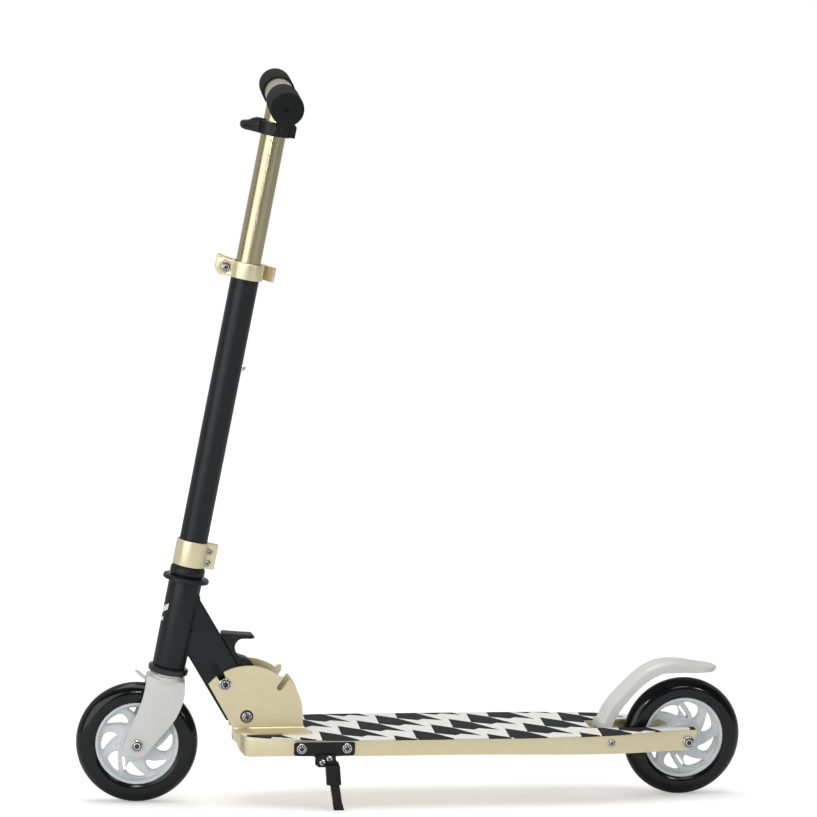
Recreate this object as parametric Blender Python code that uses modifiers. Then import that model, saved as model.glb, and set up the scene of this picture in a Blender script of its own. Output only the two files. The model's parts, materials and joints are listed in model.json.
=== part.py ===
"""A folding kick scooter for children, 125 mm wheels, on its side stand.

The scooter is modelled upright: x runs forward from the rear axle, y to the left and z up from the ground.
Everything hangs on the "stance" empty, which leans it onto the stand. What turns or slides hangs on an
empty of its own that sits on the joint's axis. Steering pieces are modelled in the steering frame: z runs
up the steering axis and x points forward across it.
"""

import math

import bmesh
import bpy
from mathutils import Matrix, Vector

MM = 0.001

# Stance: the scooter leans left onto its stand, with the bar turned a little to the right.
LEAN = math.radians(4.16)
STEER = math.radians(-7.72)
ORIGIN_X = 288.48 * MM  # from the rear axle to the middle of the whole object
ORIGIN_Y = 52.94 * MM  # from the wheels' line on the ground to the middle of the whole object

# Wheels
WHEEL_RADIUS = 62.5 * MM
TYRE_HALF_WIDTH = 12.0 * MM
RIM_RADIUS = 42.6 * MM
BEARING_RADIUS = 11.0 * MM
BEARING_WIDTH = 7.0 * MM
BEARING_INSIDE = 4.9 * MM  # from the wheel's middle to each bearing
AXLE_RADIUS = 3.9 * MM
AXLE_HEAD_RADIUS = 6.4 * MM
HUB_HALF_WIDTH = 12.0 * MM

# Steering axis
RAKE = math.radians(9.45)
AXIS_FOOT = Vector((560.03 * MM, 0, WHEEL_RADIUS))
FORK_AXLE = Vector((17.13 * MM, 0, -2.85 * MM))
FORK_HALF = 20.0 * MM
FORK_SHEET = 3.0 * MM
HEAD_TUBE_RADIUS = 17.0 * MM
HEAD_TUBE_LOW = 81.8 * MM
HEAD_TUBE_HIGH = 171.7 * MM
STEERER_RADIUS = 12.7 * MM
STEM_RADIUS = 14.4 * MM
STEM_WALL = 1.4 * MM
STEM_LOW = 188.0 * MM
STEM_HIGH = 504.0 * MM
INNER_RADIUS = 12.7 * MM
INNER_WALL = 1.5 * MM
INNER_LOW = 385.0 * MM
BAR_HEIGHT = 676.5 * MM
BAR_RADIUS = 14.5 * MM
BAR_HALF_LENGTH = 163.4 * MM
GRIP_RADIUS = 16.7 * MM
GRIP_INNER_END = 52.0 * MM
HEIGHT_STOPS = (398.0 * MM, 448.0 * MM, 498.0 * MM)
QUICK_LEVER_AXIS = Vector((21.5 * MM, -14.6 * MM, 497.0 * MM))

# Deck
DECK_TOP = 75.0 * MM
SHEET = 2.0 * MM
SLOT_HALF = 17.5 * MM
SLOT_FRONT = 102.0 * MM
REAR_FACE = 30.6 * MM  # the rear axle's face on each arm
FENDER_BOLT_FACE = 51.9 * MM
FENDER_BOLT_RADIUS = 2.4 * MM
TAPE = 0.8 * MM
GAP = 0.3 * MM  # what neighbouring pieces keep between them
KICK_BOLT_X = (416.5 * MM, 369.3 * MM)
KICK_BOLT_Z = 68.2 * MM
KICK_BOLT_RADIUS = 2.5 * MM

# Fold
FOLD_PIVOT = Vector((466.3 * MM, 0, 91.3 * MM))
FOLD_PLATE_OUT = 13.3 * MM
FOLD_PLATE_IN = 10.3 * MM
NECK_ANGLE = math.radians(58.6)
NECK_HALF_WIDTH = 10.0 * MM
NECK_TOP = 19.9 * MM  # the down tube's upper and lower faces, from its pivot's line
NECK_LOW = -19.8 * MM
LOCK_RADIUS = 41.9 * MM
LOCK_ANGLE = math.radians(55.4)
LOCK_TRAVEL = 20.0 * MM
LOCK_PIN_RADIUS = 2.9 * MM
LOCK_SWING = NECK_ANGLE - LOCK_ANGLE
LOCK_AT = Vector((LOCK_RADIUS * math.cos(LOCK_SWING), 0, -LOCK_RADIUS * math.sin(LOCK_SWING)))
LOCK_HEAD_RADIUS = 6.6 * MM

# Fender and kickstand
FENDER_PIVOT = Vector((88.0 * MM, 0, 67.5 * MM))
FENDER_HALF = 16.5 * MM
FENDER_WALL = 2.0 * MM
KICK_PIVOT = Vector((388.0 * MM, 0, 58.4 * MM))
KICK_FACE = 58.0 * MM

FINE, ROUND, SMALL = 48, 28, 16  # steps round a wheel, a tube and a bolt

TURN_TO_Y = (-math.pi / 2, 0, 0)  # z onto y
TURN_TO_RIGHT = (math.pi / 2, 0, 0)  # z onto -y
TURN_TO_X = (0, math.pi / 2, 0)  # z onto x
TURN_TO_REAR = (0, -math.pi / 2, 0)  # z onto -x

for old in list(bpy.data.objects):
    bpy.data.objects.remove(old)

parts = bpy.data.collections.new("kick_scooter")
cutters = bpy.data.collections.new("cutters")
bpy.context.scene.collection.children.link(parts)
bpy.context.scene.collection.children.link(cutters)


def material(name, colour, roughness, metallic):
    made = bpy.data.materials.new(name)
    made.use_nodes = True
    shader = made.node_tree.nodes["Principled BSDF"]
    shader.inputs["Base Color"].default_value = (*colour, 1)
    shader.inputs["Roughness"].default_value = roughness
    shader.inputs["Metallic"].default_value = metallic
    return made


GOLD = material("gold_paint", (0.66, 0.58, 0.38), 0.36, 0.7)
BLACK = material("black_paint", (0.028, 0.032, 0.035), 0.42, 0.0)
WHITE = material("white_paint", (0.78, 0.78, 0.76), 0.35, 0.0)
STEEL = material("bright_steel", (0.72, 0.73, 0.74), 0.22, 1.0)
TYRE = material("black_urethane", (0.018, 0.019, 0.021), 0.18, 0.0)
HUB = material("white_plastic", (0.80, 0.83, 0.85), 0.3, 0.0)
FOAM = material("black_foam", (0.03, 0.032, 0.032), 0.85, 0.0)
PLASTIC = material("black_plastic", (0.02, 0.02, 0.022), 0.4, 0.0)
TAPE_LOOK = material("grip_tape", (0.16, 0.16, 0.16), 0.95, 0.0)
DARK_STEEL = material("dark_steel", (0.07, 0.07, 0.075), 0.4, 0.6)


def empty(name, parent=None, location=(0, 0, 0), matrix=None):
    """An empty for a joint's axis or a frame, placed in its parent's frame."""
    made = bpy.data.objects.new(name, None)
    parts.objects.link(made)
    made.parent = parent
    made.matrix_local = matrix or Matrix.Translation(location)
    return made


def place(name, mesh, parent, look=None, location=(0, 0, 0), rotation=(0, 0, 0)):
    made = bpy.data.objects.new(name, mesh)
    made.parent = parent
    made.location = location
    made.rotation_euler = rotation
    if look:
        mesh.materials.append(look)
        parts.objects.link(made)
        mesh.shade_smooth()
        mesh.set_sharp_from_angle(angle=math.radians(35))
    else:
        cutters.objects.link(made)
        made.hide_render = True
        made.display_type = "WIRE"
    return made


def boolean(target, tool, operation):
    modifier = target.modifiers.new(operation.lower(), "BOOLEAN")
    modifier.operation = operation
    modifier.object = tool
    modifier.solver = "EXACT"
    return target


def cut(target, *tools):
    for tool in tools:
        boolean(target, tool, "DIFFERENCE")
    return target


def join(target, *tools):
    for tool in tools:
        boolean(target, tool, "UNION")
    return target


def mm(points):
    return [(a * MM, b * MM) for a, b in points]


def arc(centre, radius, first, last, count):
    """Points on an arc, from the first angle to the last, in degrees."""
    angles = [math.radians(first + (last - first) * i / (count - 1)) for i in range(count)]
    return [(centre[0] + radius * math.cos(a), centre[1] + radius * math.sin(a)) for a in angles]


def smooth(points, per_span=4):
    """A Catmull-Rom curve through the points, so that few of them make a round outline."""
    ends = [points[0], *points, points[-1]]
    made = []
    for p, q, r, s in zip(ends, ends[1:], ends[2:], ends[3:]):
        for i in range(per_span):
            t = i / per_span
            made.append(
                tuple(
                    0.5
                    * (
                        2 * q[k]
                        + (r[k] - p[k]) * t
                        + (2 * p[k] - 5 * q[k] + 4 * r[k] - s[k]) * t**2
                        + (3 * q[k] - p[k] - 3 * r[k] + s[k]) * t**3
                    )
                    for k in (0, 1)
                )
            )
    return [*made, points[-1]]


def inward(line, depth):
    """An open line moved to its left by a depth."""
    moved = []
    for i, (x, z) in enumerate(line):
        before, after = line[max(i - 1, 0)], line[min(i + 1, len(line) - 1)]
        ahead = Vector((after[0] - before[0], after[1] - before[1])).normalized()
        moved.append((x - ahead.y * depth, z + ahead.x * depth))
    return moved


def outline_mesh(loops, thickness, turn):
    """A flat outline with holes, as a filled 2D curve turned into a welded mesh."""
    curve = bpy.data.curves.new("outline", "CURVE")
    curve.dimensions = "2D"
    curve.fill_mode = "BOTH"
    curve.extrude = thickness / 2
    for loop in loops:
        spline = curve.splines.new("POLY")
        spline.points.add(len(loop) - 1)
        for point, (a, b) in zip(spline.points, loop):
            point.co = (a, b, 0, 1)
        spline.use_cyclic_u = True
    guide = bpy.data.objects.new("outline", curve)
    cutters.objects.link(guide)
    bpy.context.view_layer.update()
    mesh = bpy.data.meshes.new_from_object(guide.evaluated_get(bpy.context.evaluated_depsgraph_get()))
    bpy.data.objects.remove(guide)
    solid = bmesh.new()
    solid.from_mesh(mesh)
    bmesh.ops.remove_doubles(solid, verts=solid.verts, dist=1e-6)
    bmesh.ops.transform(solid, matrix=turn, verts=solid.verts)
    bmesh.ops.recalc_face_normals(solid, faces=solid.faces)
    solid.to_mesh(mesh)
    solid.free()
    return mesh


SIDE_VIEW = Matrix(((1, 0, 0, 0), (0, 0, 1, 0), (0, 1, 0, 0), (0, 0, 0, 1)))  # outline in x and z
TOP_VIEW = Matrix.Identity(4)  # outline in x and y
FRONT_VIEW = Matrix(((0, 0, 1, 0), (1, 0, 0, 0), (0, 1, 0, 0), (0, 0, 0, 1)))  # outline in y and z


def prism(name, loops, low, high, parent, look=None, view=SIDE_VIEW):
    """An outline carried from low to high across its own plane."""
    if isinstance(loops[0][0], float | int):
        loops = [loops]
    mesh = outline_mesh(loops, high - low, view)
    shift = view.to_3x3() @ Vector((0, 0, (low + high) / 2))
    mesh.transform(Matrix.Translation(shift))
    return place(name, mesh, parent, look)


def turned(name, profile, parent, look=None, location=(0, 0, 0), rotation=(0, 0, 0), steps=ROUND):
    """A profile of (radius, height) points, from the top down its outer side, turned about local z."""
    closed = profile[0][0] > 0
    mesh = bpy.data.meshes.new(name)
    count = len(profile)
    edges = [(i, i + 1) for i in range(count - 1)] + ([(count - 1, 0)] if closed else [])
    mesh.from_pydata([(r, 0, z) for r, z in profile], edges, [])
    made = place(name, mesh, parent, look, location, rotation)
    screw = made.modifiers.new("turn", "SCREW")
    screw.steps = screw.render_steps = steps
    screw.use_merge_vertices = True
    screw.merge_threshold = 1e-6
    screw.use_smooth_shade = True
    return made


def ring(name, inner, outer, low, high, parent, look=None, bevel=0.0, **where):
    profile = [(outer - bevel, high), (outer, high - bevel), (outer, low + bevel), (outer - bevel, low)]
    if not bevel:
        profile = [(outer, high), (outer, low)]
    return turned(name, [*profile, (inner, low), (inner, high)], parent, look, **where)


def rod(name, radius, low, high, parent, look=None, **where):
    profile = [(0, high), (radius, high), (radius, low), (0, low)]
    return turned(name, profile, parent, look, **where)


def drill(target, name, radius, centre, parent, low=-90 * MM, high=90 * MM):
    """Cuts a round hole along y."""
    where = {"location": centre, "rotation": TURN_TO_Y, "steps": SMALL}
    return cut(target, rod(name, radius, low, high, parent, **where))


def box(name, low, high, parent):
    solid = bmesh.new()
    bmesh.ops.create_cube(solid, size=1)
    size = Vector(high) - Vector(low)
    bmesh.ops.scale(solid, vec=size, verts=solid.verts)
    bmesh.ops.translate(solid, vec=(Vector(high) + Vector(low)) / 2, verts=solid.verts)
    mesh = bpy.data.meshes.new(name)
    solid.to_mesh(mesh)
    solid.free()
    return place(name, mesh, parent)


def bolt(name, shank, head, face, end, parent, location, thick=3.6 * MM):
    """A button-head bolt along y: the head sits outside the left face, and the shank runs to the end."""
    top = face + thick
    socket = top - thick * 0.55
    profile = [(0, socket), (head * 0.38, socket), (head * 0.45, top), (head * 0.72, top)]
    profile += [(head, top - thick * 0.45), (head, face), (shank, face), (shank, end), (0, end)]
    return turned(name, profile, parent, STEEL, location=location, rotation=TURN_TO_Y, steps=SMALL)


def nut(name, bore, size, face, parent, location, thick=4.2 * MM):
    """A domed nut along y, outside the right face."""
    profile = [(bore, face + thick), (size * 0.7, face + thick), (size, face + thick * 0.6), (size, face)]
    return turned(name, [*profile, (bore, face)], parent, STEEL, location=location, rotation=TURN_TO_RIGHT,
                  steps=SMALL)


def frames():
    """The empties: one for the stance, and one on each joint's axis."""
    lean = Matrix.Translation((-ORIGIN_X, -ORIGIN_Y, 0)) @ Matrix.Rotation(-LEAN, 4, "X")
    made = {"stance": empty("stance", matrix=lean)}
    root = made["stance"]
    made["rear_axle"] = empty("rear_axle", root, (0, 0, WHEEL_RADIUS))
    made["fender_axis"] = empty("fender_axis", root, FENDER_PIVOT)
    made["kickstand_axis"] = empty("kickstand_axis", root, KICK_PIVOT)
    made["fold_axis"] = empty("fold_axis", root, FOLD_PIVOT)
    made["neck"] = empty("neck", made["fold_axis"], -FOLD_PIVOT)
    tube = Matrix.Rotation(-NECK_ANGLE, 4, "Y")
    made["latch_axis"] = empty("latch_axis", made["fold_axis"], matrix=tube)
    steering = Matrix.Translation(AXIS_FOOT) @ Matrix.Rotation(-RAKE, 4, "Y")
    made["head"] = empty("head", made["neck"], matrix=steering)
    made["steering_axis"] = empty("steering_axis", made["head"], matrix=Matrix.Rotation(STEER, 4, "Z"))
    made["front_axle"] = empty("front_axle", made["steering_axis"], FORK_AXLE)
    made["quick_lever_axis"] = empty("quick_lever_axis", made["steering_axis"], QUICK_LEVER_AXIS)
    made["height_axis"] = empty("height_axis", made["steering_axis"])
    made["button_axis"] = empty("button_axis", made["steering_axis"], (0, 0, HEIGHT_STOPS[0]))
    return made


AT = frames()
ROOT = AT["stance"]


# Wheels: each in the frame of its own axle, along y.


def hub_window(centre_angle, hub_radius):
    """A teardrop opening, blunt at the rim and drawn out along the turn."""
    spread, low, high = 12, 0.56 * hub_radius, 0.83 * hub_radius
    outer = arc((0, 0), high, centre_angle - spread, centre_angle + spread, 4)
    inner = arc((0, 0), low, centre_angle + spread * 1.3, centre_angle, 2)
    return [*outer, *inner]


def hub_slit(centre_angle, hub_radius):
    half = 2.6
    outer = arc((0, 0), 0.80 * hub_radius, centre_angle - half, centre_angle + half, 2)
    inner = arc((0, 0), 0.42 * hub_radius, centre_angle + half * 1.3, centre_angle - half * 1.3, 2)
    return [*outer, *inner]


def wheel(side, axle, spin):
    """A cast hub with a urethane tyre, two ball bearings and the sleeve between them."""
    rim, web, bore, seat, step = RIM_RADIUS, 3.5 * MM, 9 * MM, BEARING_RADIUS + GAP, 4.6 * MM
    half, boss = HUB_HALF_WIDTH, 15.5 * MM
    foot, lip, width = rim - 6.4 * MM, rim - 5.6 * MM, 10 * MM
    section = [(seat, half), (boss, half), (boss + 1 * MM, web), (foot, web), (lip, width), (rim, width)]
    section += [(r, -z) for r, z in reversed(section)]
    section += [(seat, -step), (bore, -step), (bore, step), (seat, step)]
    hub = turned(f"{side}_hub", section, axle, HUB, rotation=TURN_TO_Y, steps=FINE)
    openings = []
    for half_turn in (0, 180):
        openings.append(hub_slit(spin + half_turn, rim))
        for turn in (22.5, 67.5, 112.5, 157.5):
            openings.append(hub_window(spin + half_turn + turn, rim))
    cut(hub, prism(f"{side}_hub_openings", openings, -9 * MM, 9 * MM, axle))
    half, inner = TYRE_HALF_WIDTH, rim + GAP
    crown = [(inner, half - 2.0 * MM), (46.5 * MM, half)]
    crown += arc((50.5 * MM, 0), half, 78, -78, 8)
    crown += [(46.5 * MM, -half), (inner, -half + 2.0 * MM)]
    turned(f"{side}_tyre", crown, axle, TYRE, rotation=TURN_TO_Y, steps=FINE)
    inside, outside = BEARING_INSIDE, BEARING_INSIDE + BEARING_WIDTH
    for name, low, high in (("left", inside, outside), ("right", -outside, -inside)):
        ring(f"{side}_bearing_{name}", AXLE_RADIUS + GAP, BEARING_RADIUS, low, high, axle, STEEL,
             bevel=0.5 * MM, rotation=TURN_TO_Y, steps=SMALL + 4)
    ring(f"{side}_bearing_sleeve", AXLE_RADIUS + GAP, 6 * MM, -inside + GAP, inside - GAP, axle, STEEL,
         rotation=TURN_TO_Y, steps=SMALL)


def axle_set(side, parent, centre, face, inner_face):
    """The axle bolt with its head on the left, its nut on the right, and a spacer beside each bearing."""
    bolt(f"{side}_axle_bolt", AXLE_RADIUS, AXLE_HEAD_RADIUS, face + GAP, -face - 4 * MM, parent, centre,
         thick=4.4 * MM)
    nut(f"{side}_axle_nut", AXLE_RADIUS + GAP, AXLE_HEAD_RADIUS, face + GAP, parent, centre)
    near, far = BEARING_INSIDE + BEARING_WIDTH + GAP, inner_face - GAP
    for name, low, high in (("left", near, far), ("right", -far, -near)):
        ring(f"{side}_spacer_{name}", AXLE_RADIUS + GAP, AXLE_HEAD_RADIUS, low, high, parent, STEEL,
             location=centre, rotation=TURN_TO_Y, steps=SMALL)


# Deck: a folded sheet with turned-down edges, forked round the rear wheel.

DECK_HALF_WIDTH = [(-13, 28.6), (0, 30), (22, 33.6), (45, 40), (77, 48.2), (104, 52.4), (150, 56.2)]
DECK_HALF_WIDTH += [(220, 57.2), (300, 57.6), (372, 57.6), (398, 55), (425, 49.6), (452, 42), (481, 33)]


def deck_outline(inset):
    """The deck in plan, drawn in by the inset."""
    side = [(x * MM, w * MM - inset) for x, w in smooth(DECK_HALF_WIDTH, 3)]
    side[0] = (side[0][0] + inset, side[0][1])
    side[-1] = (side[-1][0] - inset, side[-1][1])
    return side + [(x, -y) for x, y in reversed(side)]


def deck():
    low_edge = smooth(mm([(470, 54.2), (424, 57.9), (360, 59.2), (240, 58.9), (150, 57.4), (60, 55)]), 3)
    profile = mm([(-10.8, 75), (482, 75), (481.2, 66), (478.6, 58.6)])
    profile += [*low_edge, *mm([(8, 53.6), (1, 53.9), (-3, 57)])]
    made = prism("deck", deck_outline(0), 40 * MM, DECK_TOP, ROOT, GOLD, TOP_VIEW)
    boolean(made, prism("deck_side", profile, -70 * MM, 70 * MM, ROOT), "INTERSECT")
    hollow = prism("deck_hollow", deck_outline(SHEET), 30 * MM, DECK_TOP - SHEET, ROOT, view=TOP_VIEW)
    wall = SLOT_HALF + SHEET
    keep = box("slot_walls", (-40 * MM, -wall, 20 * MM), (SLOT_FRONT + SHEET, wall, 90 * MM), ROOT)
    slot = box("slot", (-60 * MM, -SLOT_HALF, 10 * MM), (SLOT_FRONT, SLOT_HALF, 95 * MM), ROOT)
    cut(hollow, keep)
    cut(made, hollow, slot)
    drill(made, "rear_axle_hole", AXLE_RADIUS + GAP, (0, 0, WHEEL_RADIUS), ROOT)
    drill(made, "fender_bolt_hole", FENDER_BOLT_RADIUS + GAP, FENDER_PIVOT, ROOT)
    for i, x in enumerate(KICK_BOLT_X):
        drill(made, f"kick_screw_hole_{i}", KICK_BOLT_RADIUS + GAP, (x, 0, KICK_BOLT_Z), ROOT, 45 * MM)
    return made


def grip_tape():
    """The sheet that covers the deck's top, a little short of its edges."""
    low = DECK_TOP + GAP
    tape = prism("grip_tape", deck_outline(1.2 * MM), low, low + TAPE, ROOT, TAPE_LOOK, TOP_VIEW)
    slot_half, slot_front = SLOT_HALF + 0.8 * MM, SLOT_FRONT + 0.8 * MM
    slot = box("tape_slot", (-60 * MM, -slot_half, 60 * MM), (slot_front, slot_half, 90 * MM), ROOT)
    end = box("tape_end", (-60 * MM, -80 * MM, 60 * MM), (-8 * MM, 80 * MM, 90 * MM), ROOT)
    return cut(tape, slot, end)


def notch(name, start, rear_edge, front_edge, parent):
    """A cutter for a lock notch: a round bottom about the start, opening out between two directions."""
    half, length = LOCK_PIN_RADIUS + GAP, 24 * MM
    outline = arc((0, 0), half, rear_edge + 90, front_edge + 270, 7)
    for angle, side in ((front_edge, -1), (rear_edge, 1)):
        turn = math.radians(angle)
        along, across = (math.cos(turn), math.sin(turn)), (-math.sin(turn), math.cos(turn))
        outline.append(tuple(length * a + side * half * b for a, b in zip(along, across)))
    made = prism(name, outline, -4 * MM, 4 * MM, parent)
    made.location = start
    return made


def fold_plate(side):
    """A side plate of the folding joint, with its foot turned out onto the deck and two lock notches."""
    name = "left" if side > 0 else "right"
    pivot = (FOLD_PIVOT.x / MM, FOLD_PIVOT.z / MM)
    foot_low = (DECK_TOP + TAPE + 2 * GAP) / MM
    rim, shoulder = (53.2, 58.5) if side > 0 else (56.6, 60.3)
    outline = [(480.6, foot_low), (481.2, 81.2)]
    if side > 0:
        outline += arc(pivot, 53.4, 40.2, 60, 6)  # low enough for the turned front wheel to pass
    else:
        outline += [(509.2, 127.8), (508.0, 130.0), (499.4, 137.0)]
    outline += arc(pivot, rim, 62, 128, 12)
    if side < 0:
        outline += [(433.5, 139.6), (427.6, 140.2), (427.6, 134.0)]
    outline += [*arc(pivot, shoulder, 141.5, 178, 8), (407.3, 84), (406.0, foot_low)]
    inner, outer = sorted((side * FOLD_PLATE_IN, side * FOLD_PLATE_OUT))
    plate = prism(f"fold_plate_{name}", mm(outline), inner, outer, ROOT, GOLD)
    middle = side * (FOLD_PLATE_IN + FOLD_PLATE_OUT) / 2
    locked = Vector((LOCK_RADIUS * math.cos(LOCK_ANGLE), middle, LOCK_RADIUS * math.sin(LOCK_ANGLE)))
    folded = Vector((-33.8 * MM, middle, 30.0 * MM))
    cut(plate, notch(f"notch_{name}_locked", FOLD_PIVOT + locked, 68, 58.6, ROOT))
    cut(plate, notch(f"notch_{name}_folded", FOLD_PIVOT + folded, 126, 124, ROOT))
    flare = mm([(480.6, 11.6), (479.8, 29), (470, 33), (412, 33), (400.5, 27), (405.5, 11.6)])
    foot_loop = [(x, side * y) for x, y in flare]
    foot = prism(f"foot_{name}", foot_loop, foot_low * MM, (foot_low + 2.6) * MM, ROOT, view=TOP_VIEW)
    return drill(join(plate, foot), f"pivot_hole_{name}", AXLE_RADIUS + GAP, FOLD_PIVOT, ROOT)


def stadium(half, length):
    """A slot's outline from the local origin along +x, with round ends."""
    return arc((0, 0), half, 90, 270, 7) + arc((length, 0), half, -90, 90, 7)


def deck_fasteners():
    face = FOLD_PLATE_OUT + GAP
    bolt("fold_pivot_bolt", AXLE_RADIUS, LOCK_HEAD_RADIUS, face, -face - 3.5 * MM, ROOT, FOLD_PIVOT,
         thick=4 * MM)
    nut("fold_pivot_nut", AXLE_RADIUS + GAP, LOCK_HEAD_RADIUS, face, ROOT, FOLD_PIVOT)
    width = FENDER_BOLT_FACE
    shank = FENDER_BOLT_RADIUS
    bolt("fender_pivot_bolt", shank, 4.2 * MM, width, -width - 2.6 * MM, ROOT, FENDER_PIVOT, thick=2.2 * MM)
    nut("fender_pivot_nut", shank + GAP, 4.4 * MM, width, ROOT, FENDER_PIVOT, thick=3 * MM)
    axle_set("rear", ROOT, (0, 0, WHEEL_RADIUS), REAR_FACE, SLOT_HALF)


def fender_spring():
    """The torsion spring round the fender's bolt, between its lugs."""
    turns, per_turn, radius, wire, half = 5, 12, 4.4 * MM, 0.55 * MM, 8 * MM
    curve = bpy.data.curves.new("fender_spring", "CURVE")
    curve.dimensions = "3D"
    curve.bevel_depth = wire
    curve.bevel_resolution = 1
    curve.use_fill_caps = True
    spline = curve.splines.new("POLY")
    spline.points.add(turns * per_turn)
    for i, point in enumerate(spline.points):
        angle = 2 * math.pi * i / per_turn
        along = -half + 2 * half * i / (turns * per_turn)
        point.co = (radius * math.cos(angle), along, radius * math.sin(angle), 1)
    made = bpy.data.objects.new("fender_spring", curve)
    curve.materials.append(DARK_STEEL)
    parts.objects.link(made)
    made.parent = ROOT
    made.location = FENDER_PIVOT
    return made


def fender():
    """The spoon-shaped brake over the rear wheel: a channel section on two lugs."""
    axis = AT["fender_axis"]
    pivot = (FENDER_PIVOT.x / MM, FENDER_PIVOT.z / MM)
    crest = [(90, 78), (87.3, 84.8), (79.8, 99), (66.5, 115), (53.3, 128.4), (44.5, 135.5)]
    crest += [(36.9, 139.8), (27.8, 143.2), (14.4, 144.6), (2, 143.6), (-8.5, 141.8)]
    crest += [(-18.5, 139.6), (-25.5, 138.2), (-33, 136.9)]
    under = [(-22, 136), (-10.8, 133), (8.9, 133.2), (25.4, 132.8), (34.5, 129.4)]
    under += [(49.5, 119.3), (63.2, 104.1), (71, 93.3), (80, 77)]
    crest = smooth(crest, 2)
    lug = arc(pivot, 6.2, 205, 375, 8)
    loop = [(x - pivot[0], z - pivot[1]) for x, z in [*crest, *smooth(under, 2), *lug]]
    made = prism("fender", mm(loop), -FENDER_HALF, FENDER_HALF, axis, WHITE)
    roof = inward(crest, FENDER_WALL / MM)
    below = [(-60, roof[-1][1]), (-60, 40), (98, 40), (98, roof[0][1])]
    inner = [(x - pivot[0], z - pivot[1]) for x, z in [*roof, *below]]
    half = FENDER_HALF - FENDER_WALL
    hollow = prism("fender_hollow", mm(inner), -half, half, axis)
    return drill(cut(made, hollow), "fender_hole", FENDER_BOLT_RADIUS + GAP, (0, 0, 0), axis)


def kickstand():
    axis = AT["kickstand_axis"]
    face, thick = KICK_FACE, 2.0 * MM
    plate = mm([(424.2, 74.4), (360.8, 74.4), (360.8, 61.6), (363, 60.4), (380, 60.1), (381.4, 58.6),
                (381.4, 51), (383, 49.8), (400, 49.8), (401.8, 51), (401.8, 58.6), (403.2, 60.1),
                (422, 60.4), (424.2, 61.6)])
    made = prism("kickstand_plate", plate, face, face + thick, ROOT, PLASTIC)
    outer = face + thick + GAP
    for name, x in zip(("front", "rear"), KICK_BOLT_X):
        spot = (x, 0, KICK_BOLT_Z)
        drill(made, f"plate_hole_{name}", KICK_BOLT_RADIUS + GAP, spot, ROOT)
        bolt(f"kickstand_screw_{name}", KICK_BOLT_RADIUS, 5.4 * MM, outer, 53 * MM, ROOT, spot, 2.6 * MM)
    rivet, rivet_head, rivet_thick = 2.0 * MM, 3.4 * MM, 1.4 * MM
    drill(made, "plate_rivet_hole", rivet + GAP, KICK_PIVOT, ROOT)
    tongue_thick = 3.4 * MM
    rivet_face = outer + tongue_thick + GAP
    bolt("kickstand_pivot_rivet", rivet, rivet_head, rivet_face, face + GAP, ROOT, KICK_PIVOT, rivet_thick)
    tongue = [(-8, 2.5), (-6, 4.6), (8, 4.6), (10.2, 2.5), (10.2, -7.4), (4, -9), (-10.6, -9), (-10.6, -2)]
    housing = prism("kickstand_housing", mm(tongue), outer, outer + tongue_thick, axis, PLASTIC)
    block = mm([(4.2, -6.5), (-10.4, -6.5), (-11.4, -16), (-12.8, -27), (2.2, -27), (3.2, -16)])
    join(housing, prism("housing_block", block, outer + 2.8 * MM, outer + 8.4 * MM, axis))
    drill(housing, "tongue_hole", rivet + GAP, (0, 0, 0), axis)
    stop = (7.3 * MM, 0, -3.8 * MM)
    drill(housing, "stop_hole", rivet + GAP, stop, axis)
    bolt("kickstand_stop_rivet", rivet, rivet_head, rivet_face, outer + GAP, axis, stop, rivet_thick)
    leg_side = [(-1.5, -27.3), (-10.8, -27.3), (-13.6, -44), (-14.6, -47), (-18.6, -60), (-7.6, -60)]
    leg_side.append((-4.6, -44))
    leg = prism("kickstand_leg", mm(leg_side), outer + 3.0 * MM, outer + 8.2 * MM, axis, PLASTIC)
    reach = 300 * MM
    return cut(leg, box("ground", (-reach, -reach, -reach), (reach, reach, 0), None))


# Neck: head tube and down tube, on the fold's pivot.


def neck():
    axis = AT["latch_axis"]
    start, reach = 13 * MM, 150 * MM
    tube = [(start, NECK_TOP), (reach, NECK_TOP), (reach, NECK_LOW), (start, NECK_LOW)]
    end = arc((0, 0), 14 * MM, -110, -250, 9)
    made = prism("neck_frame", [*tube, *end], -NECK_HALF_WIDTH, NECK_HALF_WIDTH, axis, BLACK)
    head = rod("head_tube", HEAD_TUBE_RADIUS, HEAD_TUBE_LOW, HEAD_TUBE_HIGH, AT["head"], steps=ROUND + 4)
    bore = rod("head_bore", 15.4 * MM, HEAD_TUBE_LOW - 50 * MM, HEAD_TUBE_HIGH + 60 * MM, AT["head"])
    trim = box("head_front", (0, -60 * MM, -20 * MM), (120 * MM, 60 * MM, 260 * MM), AT["head"])
    join(cut(made, trim), head)
    inside = NECK_HALF_WIDTH - 2.4 * MM
    hollow = prism("neck_hollow", mm([(-40, 17), (100, 17), (100, -17), (-40, -17)]), -inside, inside, axis)
    slot = prism("lock_slot", stadium(LOCK_PIN_RADIUS + GAP, LOCK_TRAVEL + 1 * MM), -30 * MM, 30 * MM, axis)
    slot.location = LOCK_AT
    window = box("lever_window", (34 * MM, -6 * MM, 10 * MM), (74 * MM, 6 * MM, 30 * MM), axis)
    cut(made, bore, hollow, slot, window)
    return drill(made, "neck_pivot_hole", AXLE_RADIUS + GAP, (0, 0, 0), axis)


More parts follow.
